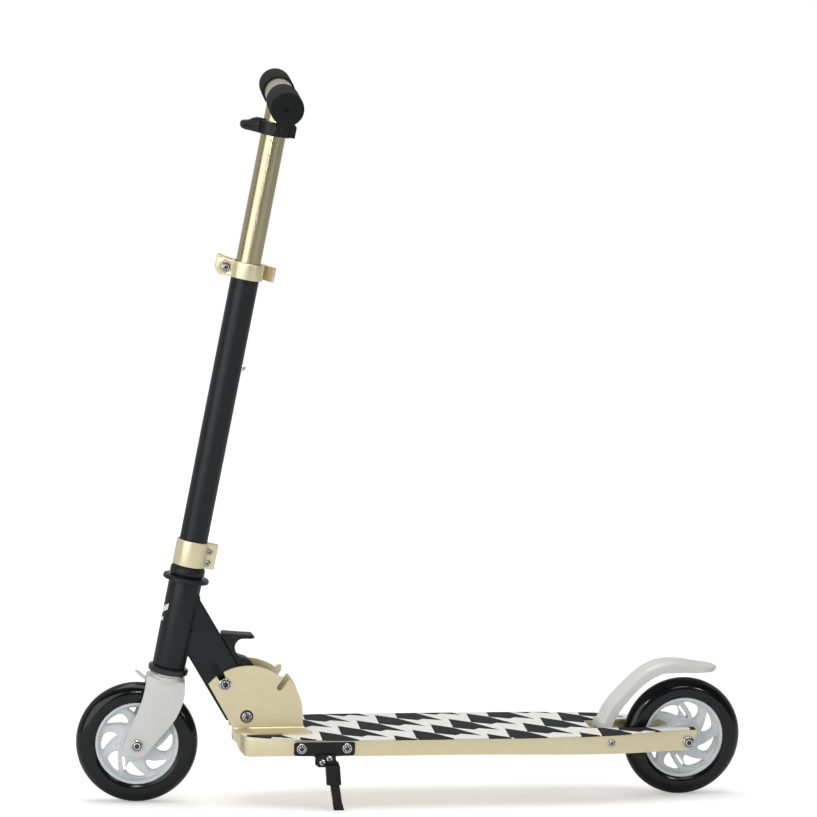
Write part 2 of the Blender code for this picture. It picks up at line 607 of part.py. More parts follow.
def headset():
    head = AT["head"]
    upper = mm([(19.5, 177.0), (23.7, 175.6), (23.7, 172.6), (20, 172.0), (15.1, 172.0), (15.1, 160)])
    turned("headset_cup_upper", [*upper, *mm([(13.3, 160), (13.3, 174), (18.4, 174), (18.4, 177.0)])], head,
           BLACK, steps=ROUND)
    lower = mm([(15.1, 95), (15.1, 81.5), (19, 81.5), (20.7, 80), (20.7, 75.6), (18.4, 74.6)])
    turned("headset_cup_lower", [*lower, *mm([(18.4, 78.2), (13.3, 78.2), (13.3, 95)])], head, BLACK,
           steps=ROUND)
    ring("headset_bearing_upper", 13.2 * MM, 18.1 * MM, 174.3 * MM, 177 * MM, head, STEEL, steps=24)
    ring("headset_bearing_lower", 13.2 * MM, 18.1 * MM, 74.6 * MM, 77.9 * MM, head, STEEL, steps=24)


def latch():
    """The release lever on the down tube's top, and the lock bolt that it draws out of the notches."""
    axis = AT["latch_axis"]
    pin = LOCK_PIN_RADIUS
    half = NECK_HALF_WIDTH
    rod("lock_pin", pin, -half, half, axis, STEEL, location=LOCK_AT, rotation=TURN_TO_Y, steps=SMALL)
    face = FOLD_PLATE_OUT + GAP
    bolt("lock_bolt_head", pin, LOCK_HEAD_RADIUS, face, face - 0.2 * MM, axis, LOCK_AT, thick=4 * MM)
    nut("lock_bolt_nut", 2 * MM, LOCK_HEAD_RADIUS, face, axis, LOCK_AT)
    tab = [(39.5, 20.4), (84, 20.4), (88.8, 22.6), (88.4, 25.6), (72.6, 47.6), (70.8, 49.4), (68.6, 49.4)]
    hollow = [(67.2, 47.4), (67.6, 44), (71.3, 33.6), (70.6, 29), (67.4, 25.6), (63, 24.4), (58.4, 24.8)]
    body = mm([*tab, *hollow, (50.6, 31), (45, 33.2), (40.4, 32.6), (38.2, 28)])
    made = prism("release_lever", body, -9 * MM, 9 * MM, axis, PLASTIC)
    reach = mm([(36.5, -8), (48, -8), (53.5, 12), (53.5, 24), (49.6, 24), (46, 12), (36.5, 5)])
    stem = prism("lever_stem", reach, -4.5 * MM, 4.5 * MM, axis)
    return drill(join(made, stem), "lever_pin_hole", pin + GAP, LOCK_AT, axis)


# Steering: fork, stem, clamps.


def fork():
    axis = AT["steering_axis"]
    centre = (FORK_AXLE.x / MM, FORK_AXLE.z / MM)
    side = [(20.4, 70), (20.4, 52), (21.6, 40), (24.6, 24), (28.6, 8)]
    side += arc(centre, 12.9, 30, -148, 9)
    side += [(-4, 9), (-13, 25), (-18.6, 39), (-20.6, 50), (-20.2, 62), (-18.6, 70)]
    made = prism("fork", mm(side), -FORK_HALF, FORK_HALF, axis, WHITE)
    out, inside, top, bend = FORK_HALF / MM, (FORK_HALF - FORK_SHEET) / MM, 69.6, 9.0
    left, right = (out - bend, top - bend), (bend - out, top - bend)
    inner_bend = bend - FORK_SHEET / MM
    shell = [(out, -40), *arc(left, bend, 0, 90, 5), *arc(right, bend, 90, 180, 5), (-out, -40)]
    shell += [(-inside, -40), *arc(right, inner_bend, 180, 90, 5)]
    shell += [*arc(left, inner_bend, 90, 0, 5), (inside, -40)]
    boolean(made, prism("fork_shell", mm(shell), -50 * MM, 50 * MM, axis, view=FRONT_VIEW), "INTERSECT")
    crown = rod("fork_crown", 18.4 * MM, 67 * MM, 74.2 * MM, axis)
    tab_outline = mm([(15, -3.5), (26, -3.5), (29.5, 0), (26, 3.5), (15, 3.5)])
    tab = prism("fork_tab", tab_outline, 66.8 * MM, 69.4 * MM, axis, view=TOP_VIEW)
    bore = rod("fork_bore", STEERER_RADIUS + GAP, 50 * MM, 90 * MM, axis)
    tab_hole = rod("tab_hole", 1.5 * MM, 60 * MM, 75 * MM, axis, location=(25.5 * MM, 0, 0), steps=12)
    cut(join(made, crown, tab), bore, tab_hole)
    drill(made, "fork_axle_hole", AXLE_RADIUS + GAP, FORK_AXLE, axis)
    axle_set("front", axis, FORK_AXLE, FORK_HALF, FORK_HALF - FORK_SHEET)


def stem():
    axis = AT["steering_axis"]
    ring("steerer_tube", 10.5 * MM, STEERER_RADIUS, 67.5 * MM, 212 * MM, axis, DARK_STEEL)
    collar = [(15.4, 187.4), (17.2, 186.2), (17.9, 184), (17.9, 179), (17.2, 177.4), (13.1, 177.4)]
    turned("headset_lock_collar", mm([*collar, (13.1, 187.4)]), axis, BLACK)
    tube = ring("stem_outer_tube", STEM_RADIUS - STEM_WALL, STEM_RADIUS, STEM_LOW, STEM_HIGH, axis, BLACK)
    spot = (0, 0, HEIGHT_STOPS[0])
    cut(tube, rod("button_hole", 3.4 * MM, -20 * MM, -8 * MM, axis, location=spot, rotation=TURN_TO_X,
                  steps=SMALL))


def stem_clamp():
    """The two-bolt clamp that holds the stem on the steerer."""
    axis = AT["steering_axis"]
    low, high, inner, outer = 188 * MM, 215.5 * MM, STEM_RADIUS + GAP, 16.9 * MM
    made = ring("stem_clamp", inner, outer, low, high, axis, GOLD)
    ears = box("clamp_ears", (-28.4 * MM, -4.6 * MM, low), (-15.2 * MM, 4.6 * MM, high), axis)
    slit = box("clamp_slit", (-40 * MM, -1.2 * MM, low - 9 * MM), (-12 * MM, 1.2 * MM, high + 9 * MM), axis)
    cut(join(made, ears), slit)
    for name, height in (("upper", 206 * MM), ("lower", 194.4 * MM)):
        spot = (-19.4 * MM, 0, height)
        drill(made, f"clamp_hole_{name}", 1.9 * MM, spot, axis)
        bolt(f"stem_clamp_bolt_{name}", 1.6 * MM, 3.4 * MM, 4.9 * MM, -7 * MM, axis, spot, thick=2.2 * MM)


def quick_clamp():
    """The quick-release clamp at the stem's top, its bolt and its cam lever."""
    axis, lever_axis = AT["steering_axis"], AT["quick_lever_axis"]
    low, high, inner, outer = 489 * MM, 505 * MM, STEM_RADIUS + GAP, 17.5 * MM
    made = ring("quick_clamp", inner, outer, low, high, axis, GOLD)
    ears = mm([(13, 489), (27, 489), (31.6, 491.5), (32.2, 502), (29, 505.4), (13, 505)])
    join(made, prism("quick_ears", ears, -8.6 * MM, 8.6 * MM, axis))
    slit = box("quick_slit", (12 * MM, -1.6 * MM, 480 * MM), (50 * MM, 1.6 * MM, 520 * MM), axis)
    spot = Vector((QUICK_LEVER_AXIS.x, 0, QUICK_LEVER_AXIS.z))
    bore = rod("quick_bore", inner, 480 * MM, 520 * MM, axis)
    drill(cut(made, bore, slit), "quick_hole", 2.9 * MM, spot, axis)
    bolt("quick_clamp_bolt", 2.6 * MM, 5.2 * MM, 8.9 * MM, -8.6 * MM, axis, spot, thick=3 * MM)
    centre = (-QUICK_LEVER_AXIS.x, -QUICK_LEVER_AXIS.y)
    sweep = arc(centre, 22.6 * MM, -42, -160, 12) + mm([(-46.4, 9.4), (-50.6, 14.4)])
    back = mm([(-48.2, 15.8), (-44.0, 11.2)]) + arc(centre, 19.6 * MM, -160, -46, 12)
    lever = prism("quick_lever", [*sweep, *back], -7.4 * MM, 7.4 * MM, lever_axis, GOLD, TOP_VIEW)
    join(lever, rod("quick_cam", 5.4 * MM, -7.4 * MM, 7.4 * MM, lever_axis, steps=SMALL))
    around = math.radians(-156)
    for i, height in enumerate((-3.1 * MM, 3.1 * MM)):
        spot = (centre[0] + 21 * MM * math.cos(around), centre[1] + 21 * MM * math.sin(around), height)
        cut(lever, rod(f"lever_hole_{i}", 1.6 * MM, -4 * MM, 4 * MM, lever_axis, location=spot,
                       rotation=(0, math.pi / 2, around), steps=12))


def handlebar():
    axis = AT["height_axis"]
    made = ring("t_tube", INNER_RADIUS - INNER_WALL, INNER_RADIUS, INNER_LOW, BAR_HEIGHT, axis, GOLD)
    half = BAR_HALF_LENGTH - 6 * MM
    cross = ring("cross_tube", BAR_RADIUS - INNER_WALL, BAR_RADIUS, -half, half, axis,
                 location=(0, 0, BAR_HEIGHT), rotation=TURN_TO_Y)
    join(made, cross)
    for i, height in enumerate(HEIGHT_STOPS):
        spot = (0, 0, height)
        cut(made, rod(f"stop_hole_{i}", 3.4 * MM, -20 * MM, -6 * MM, axis, location=spot, rotation=TURN_TO_X,
                      steps=SMALL))
    for name, turn in (("left", TURN_TO_Y), ("right", TURN_TO_RIGHT)):
        end, start, inner = BAR_HALF_LENGTH, GRIP_INNER_END, BAR_RADIUS + GAP
        profile = [(0, end - 1.2 * MM), (1.5 * MM, end), (GRIP_RADIUS - 2.5 * MM, end)]
        profile += [(GRIP_RADIUS, end - 2.5 * MM), (GRIP_RADIUS, start + 1 * MM)]
        profile += [(GRIP_RADIUS - 1 * MM, start)]
        profile += [(inner, start), (inner, end - 4 * MM), (0, end - 4 * MM)]
        turned(f"grip_{name}", profile, axis, FOAM, location=(0, 0, BAR_HEIGHT), rotation=turn)


def storage_clip():
    """The plastic clip under the bar, with a hook in front and its split ears behind."""
    axis = AT["height_axis"]
    low, high = 636.6 * MM, 649.4 * MM
    made = ring("storage_clip", INNER_RADIUS + GAP, 16.4 * MM, low, high, axis, PLASTIC)
    hook = [(14, 636.6), (34, 638.2), (35.2, 640), (35.2, 644.2), (34, 645.6), (25, 648.8), (19, 650.6)]
    join(made, prism("clip_hook", mm([*hook, (14, 651)]), -5 * MM, 5 * MM, axis))
    ears = box("clip_ears", (-22 * MM, -6 * MM, low - 1 * MM), (-14 * MM, 6 * MM, high + 1 * MM), axis)
    slit = box("clip_slit", (-40 * MM, -1 * MM, low - 9 * MM), (-11 * MM, 1 * MM, high + 9 * MM), axis)
    cut(join(made, ears), slit)


def height_button():
    profile = mm([(0, 4.2), (1.8, 3.9), (3.0, 2.6), (3.0, -0.8), (0, -0.8)])
    turned("height_button", [(r, z + 13.8 * MM) for r, z in profile], AT["button_axis"], STEEL,
           rotation=TURN_TO_REAR, steps=SMALL)


wheel("rear", AT["rear_axle"], 84)
wheel("front", AT["front_axle"], -55.5)
deck()
grip_tape()
fold_plate(1)
fold_plate(-1)
deck_fasteners()
fender_spring()
fender()
kickstand()
neck()
headset()
latch()
fork()
stem()
stem_clamp()
quick_clamp()
handlebar()
storage_clip()
height_button()
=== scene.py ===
"""Looks of the folding kick scooter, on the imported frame.

Every piece is modelled in millimetres, in the frame of the part that it belongs to: x forward, y to the
rider's left and z up. FRAMES gives each such frame's place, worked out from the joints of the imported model.
"""

import json
import math

import bmesh
import bpy
from mathutils import Matrix, Vector


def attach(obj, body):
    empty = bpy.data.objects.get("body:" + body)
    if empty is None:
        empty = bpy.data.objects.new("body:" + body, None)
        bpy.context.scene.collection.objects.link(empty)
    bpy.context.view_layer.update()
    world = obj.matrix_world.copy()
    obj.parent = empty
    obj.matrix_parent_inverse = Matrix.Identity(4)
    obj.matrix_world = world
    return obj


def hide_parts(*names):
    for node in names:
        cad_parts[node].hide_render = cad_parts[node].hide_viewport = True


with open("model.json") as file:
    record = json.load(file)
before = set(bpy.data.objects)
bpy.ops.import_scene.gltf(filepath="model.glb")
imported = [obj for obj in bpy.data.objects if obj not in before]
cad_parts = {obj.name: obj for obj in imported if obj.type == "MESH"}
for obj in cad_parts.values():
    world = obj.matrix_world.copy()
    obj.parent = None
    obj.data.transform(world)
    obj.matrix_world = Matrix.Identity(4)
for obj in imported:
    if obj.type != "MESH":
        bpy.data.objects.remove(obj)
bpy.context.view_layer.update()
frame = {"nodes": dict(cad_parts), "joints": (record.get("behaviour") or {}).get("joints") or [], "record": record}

MM = 0.001
WHEEL_RADIUS = 62.5
RIM_RADIUS = 42.6  # where the hub ends and the tyre starts
AXLE_HOLE = 4.2
DECK_TOP = 75.0
TAPE_LOW, TAPE_HIGH = 75.3, 76.1
PLATE_INNER, PLATE_OUTER = 10.3, 13.3  # a fold plate's two faces, from the middle
HEAD_TUBE_RADIUS = 17.0
LOCK_AT = (41.83, 0.0, -2.34)  # the lock bolt's place in the latch frame
STEM_BORE, STEM_RADIUS, STEM_TOP = 13.0, 14.4, 504
CLAMP_BORE = STEM_RADIUS + 0.05
QUICK_BOLT = (21.5, 0, 497)
INNER_TUBE_RADIUS, BAR_RADIUS = 12.7, 14.5
BAR_HEIGHT = 676.5
BUTTON_HOLE, HOLE_HEIGHT = 3.4, 398  # the height button's hole
JOINTS = {joint["name"]: joint for joint in frame["joints"]}
BODY_OF = {node: body for body, nodes in frame["record"]["behaviour"]["bodies"].items() for node in nodes}


# Frames


def frame_at(origin, x=None, y=None, z=None):
    """The frame with that origin and two of its axes."""
    x = x or y.cross(z)
    y = y or z.cross(x)
    z = z or x.cross(y)
    turned_axes = Matrix((x, y, z)).transposed().to_4x4()
    return Matrix.Translation(origin) @ turned_axes


def joint_axis(name, sign=1):
    return sign * Vector(JOINTS[name]["axis"])


def joint_at(name):
    return Vector(JOINTS[name]["pos_m"])


side = joint_axis("rear_wheel_spin")
forward = Vector((1, 0, 0))
up = forward.cross(side)
ground_line = joint_at("rear_wheel_spin") - up * WHEEL_RADIUS * MM
steer_side, steer_up = joint_axis("front_wheel_spin"), joint_axis("steer")
FRAMES = {
    "stance": frame_at(ground_line, forward, side),
    "rear_axle": frame_at(joint_at("rear_wheel_spin"), forward, side),
    "fender": frame_at(joint_at("fender_brake"), forward, side),
    "stand": frame_at(joint_at("kickstand_swing"), forward, side),
    "fold": frame_at(joint_at("fold"), forward, side),
    "latch": frame_at(joint_at("fold"), joint_axis("fold_latch"), side),
    "head": frame_at(joint_at("steer"), y=side, z=steer_up),
    "steering": frame_at(joint_at("steer"), y=steer_side, z=steer_up),
    "front_axle": frame_at(joint_at("front_wheel_spin"), y=steer_side, z=steer_up),
    "lever": frame_at(joint_at("quick_release"), y=steer_side, z=steer_up),
}
TO_METRES = Matrix.Diagonal((MM, MM, MM, 1))


def point_in(place, other, point=(0, 0, 0)):
    """A point of one frame, in millimetres of another."""
    world = FRAMES[place] @ (Vector(point) * MM)
    return FRAMES[other].inverted() @ world / MM


def from_frame(place, other):
    """What carries millimetres of one frame, or of the row frame, into another."""
    made = FRAMES[other].inverted() @ (FRAMES[place] if place else Matrix.Identity(4))
    made.translation /= MM
    return made


# Mesh making. Meshes are in millimetres until piece() places them.

ALONG = {
    "x": Matrix.Rotation(math.pi / 2, 4, "Y"),
    "y": Matrix.Rotation(-math.pi / 2, 4, "X"),
    "z": Matrix.Identity(4),
}
SIDE_VIEW = Matrix(((1, 0, 0, 0), (0, 0, 1, 0), (0, 1, 0, 0), (0, 0, 0, 1)))
TOP_VIEW = Matrix.Identity(4)
FRONT_VIEW = Matrix(((0, 0, 1, 0), (1, 0, 0, 0), (0, 1, 0, 0), (0, 0, 0, 1)))


def mesh_from(solid):
    """The bmesh as a mesh, its faces turned outwards."""
    bmesh.ops.recalc_face_normals(solid, faces=solid.faces)
    mesh = bpy.data.meshes.new("part")
    solid.to_mesh(mesh)
    solid.free()
    return mesh


def placed(mesh, at=(0, 0, 0), along="z", turn=None):
    """The mesh turned from z to another axis and moved to its place."""
    mesh.transform(Matrix.Translation(at) @ (turn or ALONG[along]))
    return mesh


def lathe(profile, steps=96, at=(0, 0, 0), along="z", turn=None):
    """A profile of (radius, height) points turned about the axis, closed if it starts off the axis."""
    solid = bmesh.new()
    rings = []
    for radius, height in profile:
        if radius == 0:
            rings.append([solid.verts.new((0, 0, height))] * steps)
            continue
        spots = [2 * math.pi * i / steps for i in range(steps)]
        rings.append([solid.verts.new((radius * math.cos(a), radius * math.sin(a), height)) for a in spots])
    pairs = list(zip(rings, rings[1:]))
    if profile[0][0] > 0:
        pairs.append((rings[-1], rings[0]))
    for above, below in pairs:
        for i in range(steps):
            corners = [above[i - 1], above[i], below[i], below[i - 1]]
            corners = list(dict.fromkeys(corners))
            if len(corners) > 2:
                solid.faces.new(corners)
    return placed(mesh_from(solid), at, along, turn)


def rod(radius, low, high, edge=0.0, **where):
    """A round bar, with its ends' edges cut off by the edge."""
    profile = [(radius, high), (radius, low)]
    if edge:
        profile = [(radius - edge, high), (radius, high - edge), (radius, low + edge), (radius - edge, low)]
    return lathe([(0, high), *profile, (0, low)], **where)


def crosswise(radius, low, high, at=(0, 0, 0), steps=32):
    """A pin, or the cut for a hole, along y."""
    return rod(radius, low, high, at=at, along="y", steps=steps)


def tube(inner, outer, low, high, edge=0.3, **where):
    """A round pipe, with its ends' edges cut off by the edge."""
    profile = [(inner + edge, high), (outer - edge, high), (outer, high - edge), (outer, low + edge)]
    profile += [(outer - edge, low), (inner + edge, low), (inner, low + edge), (inner, high - edge)]
    return lathe(profile, **where)


def slab(loops, low, high, view=SIDE_VIEW, at=(0, 0, 0)):
    """A flat outline, or an outline with holes, carried from low to high."""
    if isinstance(loops[0][0], float | int):
        loops = [loops]
    curve = bpy.data.curves.new("outline", "CURVE")
    curve.dimensions = "2D"
    curve.fill_mode = "BOTH"
    curve.extrude = (high - low) / 2
    for loop in loops:
        spline = curve.splines.new("POLY")
        spline.points.add(len(loop) - 1)
        for point, (a, b) in zip(spline.points, loop):
            point.co = (a, b, 0, 1)
        spline.use_cyclic_u = True
    guide = bpy.data.objects.new("outline", curve)
    bpy.context.scene.collection.objects.link(guide)
    bpy.context.view_layer.update()
    flat = bpy.data.meshes.new_from_object(guide.evaluated_get(bpy.context.evaluated_depsgraph_get()))
    bpy.data.objects.remove(guide)
    solid = bmesh.new()
    solid.from_mesh(flat)
    bmesh.ops.remove_doubles(solid, verts=solid.verts, dist=1e-4)
    bmesh.ops.translate(solid, verts=solid.verts, vec=(0, 0, (low + high) / 2))
    bmesh.ops.transform(solid, verts=solid.verts, matrix=view)
    return placed(mesh_from(solid), at)


def block(low, high):
    solid = bmesh.new()
    bmesh.ops.create_cube(solid, size=1)
    size = Vector(high) - Vector(low)
    bmesh.ops.scale(solid, vec=size, verts=solid.verts)
    bmesh.ops.translate(solid, vec=(Vector(high) + Vector(low)) / 2, verts=solid.verts)
    return mesh_from(solid)


def bead(rings):
    """A closed loop of rings of corners, each joined to the one before it."""
    solid = bmesh.new()
    corners = [[solid.verts.new(spot) for spot in ring] for ring in rings]
    for before, after in zip([corners[-1], *corners], corners):
        for i in range(len(before)):
            solid.faces.new((before[i - 1], before[i], after[i], after[i - 1]))
    return mesh_from(solid)


def wrap(solid, radius, levels, angles, steps, slope=0.0):
    """Adds a bar printed round a tube, between two levels and two angles, rising by its slope."""
    first, last = angles
    rows = []
    for level in levels:
        spots = [first + (last - first) * i / steps for i in range(steps + 1)]
        bends = [(math.radians(a), level + slope * a) for a in spots]
        rows.append([solid.verts.new((radius * math.cos(a), radius * math.sin(a), z)) for a, z in bends])
    for i in range(steps):
        solid.faces.new((rows[0][i], rows[0][i + 1], rows[1][i + 1], rows[1][i]))


def evaluated(mesh, modifiers):
    """The mesh with the modifiers applied, each given as (type, settings)."""
    holder = bpy.data.objects.new("holder", mesh)
    bpy.context.scene.collection.objects.link(holder)
    tools = []
    for kind, settings in modifiers:
        modifier = holder.modifiers.new(kind.lower(), kind)
        for key, value in settings.items():
            if isinstance(value, bpy.types.Mesh):
                value = bpy.data.objects.new("tool", value)
                bpy.context.scene.collection.objects.link(value)
                tools.append(value)
            setattr(modifier, key, value)
    bpy.context.view_layer.update()
    made = bpy.data.meshes.new_from_object(holder.evaluated_get(bpy.context.evaluated_depsgraph_get()))
    for used in (holder, *tools):
        bpy.data.objects.remove(used)
    return made


def shaped(mesh, join=(), cut=(), keep=(), edge=0.0, segments=3):
    """The mesh with others joined, kept within or cut away, and its edges rounded."""
    steps = [("BOOLEAN", {"operation": "UNION", "object": tool, "solver": "EXACT"}) for tool in join]
    steps += [("BOOLEAN", {"operation": "INTERSECT", "object": tool, "solver": "EXACT"}) for tool in keep]
    steps += [("BOOLEAN", {"operation": "DIFFERENCE", "object": tool, "solver": "EXACT"}) for tool in cut]
    if steps:
        mesh = evaluated(mesh, steps)
    solid = bmesh.new()
    solid.from_mesh(mesh)
    bmesh.ops.remove_doubles(solid, verts=solid.verts, dist=1e-3)
    bmesh.ops.dissolve_limit(solid, angle_limit=math.radians(0.4), verts=solid.verts, edges=solid.edges)
    mesh = mesh_from(solid)
    if edge:
        rounding = {"width": edge, "segments": segments, "harden_normals": False}
        corners = {"limit_method": "ANGLE", "angle_limit": math.radians(32)}
        mesh = evaluated(mesh, [("BEVEL", rounding | corners)])
    return mesh


def arc(centre, radius, first, last, count):
    """That many points of a circle, from one angle to another in degrees."""
    angles = [math.radians(first + (last - first) * i / (count - 1)) for i in range(count)]
    return [(centre[0] + radius * math.cos(a), centre[1] + radius * math.sin(a)) for a in angles]


def rounded_box(half, low, high, corner, count=7):
    """A rectangle with round corners, from -half to half and from low to high."""
    centres = [(half - corner, high - corner), (corner - half, high - corner)]
    centres += [(corner - half, low + corner), (half - corner, low + corner)]
    quarters = [arc(centre, corner, 90 * i, 90 * (i + 1), count) for i, centre in enumerate(centres)]
    return [point for quarter in quarters for point in quarter]


def smooth(points, per_span=6, closed=False):
    """A Catmull-Rom curve through points of any dimension."""
    if closed:
        ends = [points[-1], *points, points[0], points[1]]
    else:
        ends = [points[0], *points, points[-1]]
    made = []
    for p, q, r, s in zip(ends, ends[1:], ends[2:], ends[3:]):
        for i in range(per_span):
            t = i / per_span
            weights = (-t + 2 * t**2 - t**3, 2 - 5 * t**2 + 3 * t**3, t + 4 * t**2 - 3 * t**3, t**3 - t**2)
            made.append(tuple(sum(w * v for w, v in zip(weights, four)) / 2 for four in zip(p, q, r, s)))
    return made if closed else [*made, tuple(points[-1])]


# Materials


class Nodes:
    """A material's node tree, with short calls for the nodes used here."""

    def __init__(self, name, roughness, metallic=0.0, **sockets):
        self.material = bpy.data.materials.new(name)
        self.material.use_nodes = True
        self.tree = self.material.node_tree
        self.shader = self.tree.nodes["Principled BSDF"]
        self.shader.inputs["Metallic"].default_value = metallic
        self.shader.inputs["Roughness"].default_value = roughness
        for socket, value in sockets.items():
            self.shader.inputs[socket.replace("_", " ")].default_value = value
        self.place = self.tree.nodes.new("ShaderNodeTexCoord").outputs["Object"]

    def node(self, kind, inputs=(), **settings):
        made = self.tree.nodes.new("ShaderNode" + kind)
        for key, value in settings.items():
            setattr(made, key, value)
        for key, value in dict(inputs).items():
            if isinstance(value, bpy.types.NodeSocket):
                self.tree.links.new(value, made.inputs[key])
            else:
                made.inputs[key].default_value = value
        return made

    def noise(self, scale, detail=2.0, rough=0.5):
        fields = {"Vector": self.place, "Scale": scale, "Detail": detail, "Roughness": rough}
        return self.node("TexNoise", fields).outputs["Fac"]

    def maths(self, operation, first, second=0.0, third=0.0):
        return self.node("Math", {0: first, 1: second, 2: third}, operation=operation).outputs[0]

    def between(self, factor, low, high, start=0.3, end=0.7):
        """Two values or colours, mixed where the factor runs from start to end."""
        share = self.node("MapRange", {"Value": factor, "From Min": start, "From Max": end}).outputs[0]
        if isinstance(low, tuple):
            mix = self.node("Mix", {0: share, 6: (*low, 1), 7: (*high, 1)}, data_type="RGBA")
            return mix.outputs[2]
        return self.node("MapRange", {"Value": share, "To Min": low, "To Max": high}).outputs[0]

    def use(self, **sockets):
        for socket, value in sockets.items():
            self.tree.links.new(value, self.shader.inputs[socket.replace("_", " ")])

    def bump(self, *heights):
        """Bumps stacked in turn, each given as (height, distance in millimetres, strength)."""
        normal = None
        for height, distance, strength in heights:
            fields = {"Height": height, "Distance": distance * MM, "Strength": strength}
            if normal:
                fields["Normal"] = normal
            normal = self.node("Bump", fields).outputs[0]
        self.use(Normal=normal)


def coated(name, low, high, roughness, metallic=0.0, grain=1400, depth=0.02, **sockets):
    """Powder coat or paint: slightly uneven colour and gloss over a fine orange peel."""
    made = Nodes(name, roughness, metallic, **sockets)
    mottle = made.noise(55, 3)
    made.use(Base_Color=made.between(mottle, low, high, 0.2, 0.8))
    made.use(Roughness=made.between(made.noise(900, 3), roughness - 0.04, roughness + 0.04))
    made.bump((made.noise(grain, 3, 0.6), depth, 0.5), (made.noise(grain * 0.2, 2), depth, 0.25))
    return made.material


def gold_paint():
    low, high = (0.770, 0.688, 0.455), (0.810, 0.728, 0.490)
    return coated("gold_paint", low, high, 0.34, 0.60, 2600, 0.005, Coat_Weight=0.12, Coat_Roughness=0.3)


def gold_gloss():
    """The height tube and its bar are shinier than the rest."""
    return coated("gold_gloss", (0.500, 0.440, 0.285), (0.550, 0.490, 0.325), 0.25, 1.0, 2600, 0.004)


def black_paint():
    low, high = (0.0080, 0.0095, 0.0110), (0.0110, 0.0128, 0.0145)
    return coated("black_paint", low, high, 0.36, 0.0, 1800, 0.012, Specular_IOR_Level=0.3)


def black_gloss():
    return coated("black_gloss", (0.0100, 0.0110, 0.0120), (0.0150, 0.0160, 0.0170), 0.16, 0.0, 900, 0.01)


def white_paint():
    low, high = (0.645, 0.650, 0.628), (0.690, 0.695, 0.675)
    return coated("white_paint", low, high, 0.34, 0.0, 1500, 0.012, Coat_Weight=0.2, Coat_Roughness=0.2)


def bright_steel():
    made = Nodes("bright_steel", 0.2, 1.0)
    made.use(Base_Color=made.between(made.noise(600, 4), (0.50, 0.51, 0.52), (0.72, 0.73, 0.74)))
    made.use(Roughness=made.between(made.noise(1500, 3), 0.08, 0.2))
    made.bump((made.noise(4000, 2), 0.003, 0.4))
    return made.material


def dark_steel():
    made = Nodes("dark_steel", 0.4, 0.8)
    made.use(Base_Color=made.between(made.noise(500, 4), (0.05, 0.05, 0.055), (0.11, 0.11, 0.115)))
    made.use(Roughness=made.between(made.noise(900, 3), 0.32, 0.5))
    return made.material


def urethane():
    made = Nodes("urethane", 0.12, 0.0, Specular_IOR_Level=0.33)
    made.use(Base_Color=made.between(made.noise(70, 4), (0.0040, 0.0044, 0.0050), (0.0070, 0.0075, 0.0085)))
    made.use(Roughness=made.between(made.noise(45, 5, 0.6), 0.09, 0.17))
    made.bump((made.noise(160, 4, 0.6), 0.03, 0.35), (made.noise(1800, 2), 0.004, 0.4))
    return made.material


def white_plastic():
    made = Nodes("white_plastic", 0.3, 0.0, Subsurface_Weight=0.2, Subsurface_Scale=0.004)
    made.shader.inputs["Subsurface Radius"].default_value = (1.0, 0.9, 0.8)
    made.use(Base_Color=made.between(made.noise(90, 3), (0.640, 0.675, 0.685), (0.715, 0.745, 0.752)))
    made.use(Roughness=made.between(made.noise(150, 3), 0.24, 0.38))
    made.bump((made.noise(1600, 3), 0.008, 0.4))
    return made.material


def black_foam():
    made = Nodes("black_foam", 0.9, 0.0, Specular_IOR_Level=0.12)
    pores = made.node("TexVoronoi", {"Vector": made.place, "Scale": 1500.0}, feature="F1").outputs["Distance"]
    # the foam is painted darkest at the pores' centres, where the bump dips: painted shade in the pores
    made.use(Base_Color=made.between(pores, (0.0060, 0.0064, 0.0064), (0.0170, 0.0178, 0.0180), 0.05, 0.6))
    made.use(Roughness=made.between(made.noise(400, 3), 0.78, 0.95))
    made.bump((pores, 0.12, 0.5), (made.noise(260, 4), 0.25, 0.35))
    return made.material


def black_plastic():
    made = Nodes("black_plastic", 0.4, Specular_IOR_Level=0.3)
    made.use(Base_Color=made.between(made.noise(300, 4), (0.0060, 0.0063, 0.0068), (0.0115, 0.0120, 0.0130)))
    made.use(Roughness=made.between(made.noise(500, 3), 0.3, 0.48))
    made.bump((made.noise(2200, 3, 0.7), 0.03, 0.5))
    return made.material


PRINT_START = (343.8, -25.8)  # one corner of the grip tape's print, in the stance frame
PRINT_STEP = (24.0, 22.7)  # the way from one jag of the print to the next
PRINT_ROW = (-74.6, 20.8)  # the way from one row of jags to the next
PRINT_LEFT = ((0, 0), (0.388, 0.3316), (1, 1.28))  # where each dark jag starts, by how far across the row
PRINT_WIDTH = ((0, 0), (0.388, 0.995), (0.70, 0.655), (0.702, 0.384), (1, 0))  # and how wide it is there


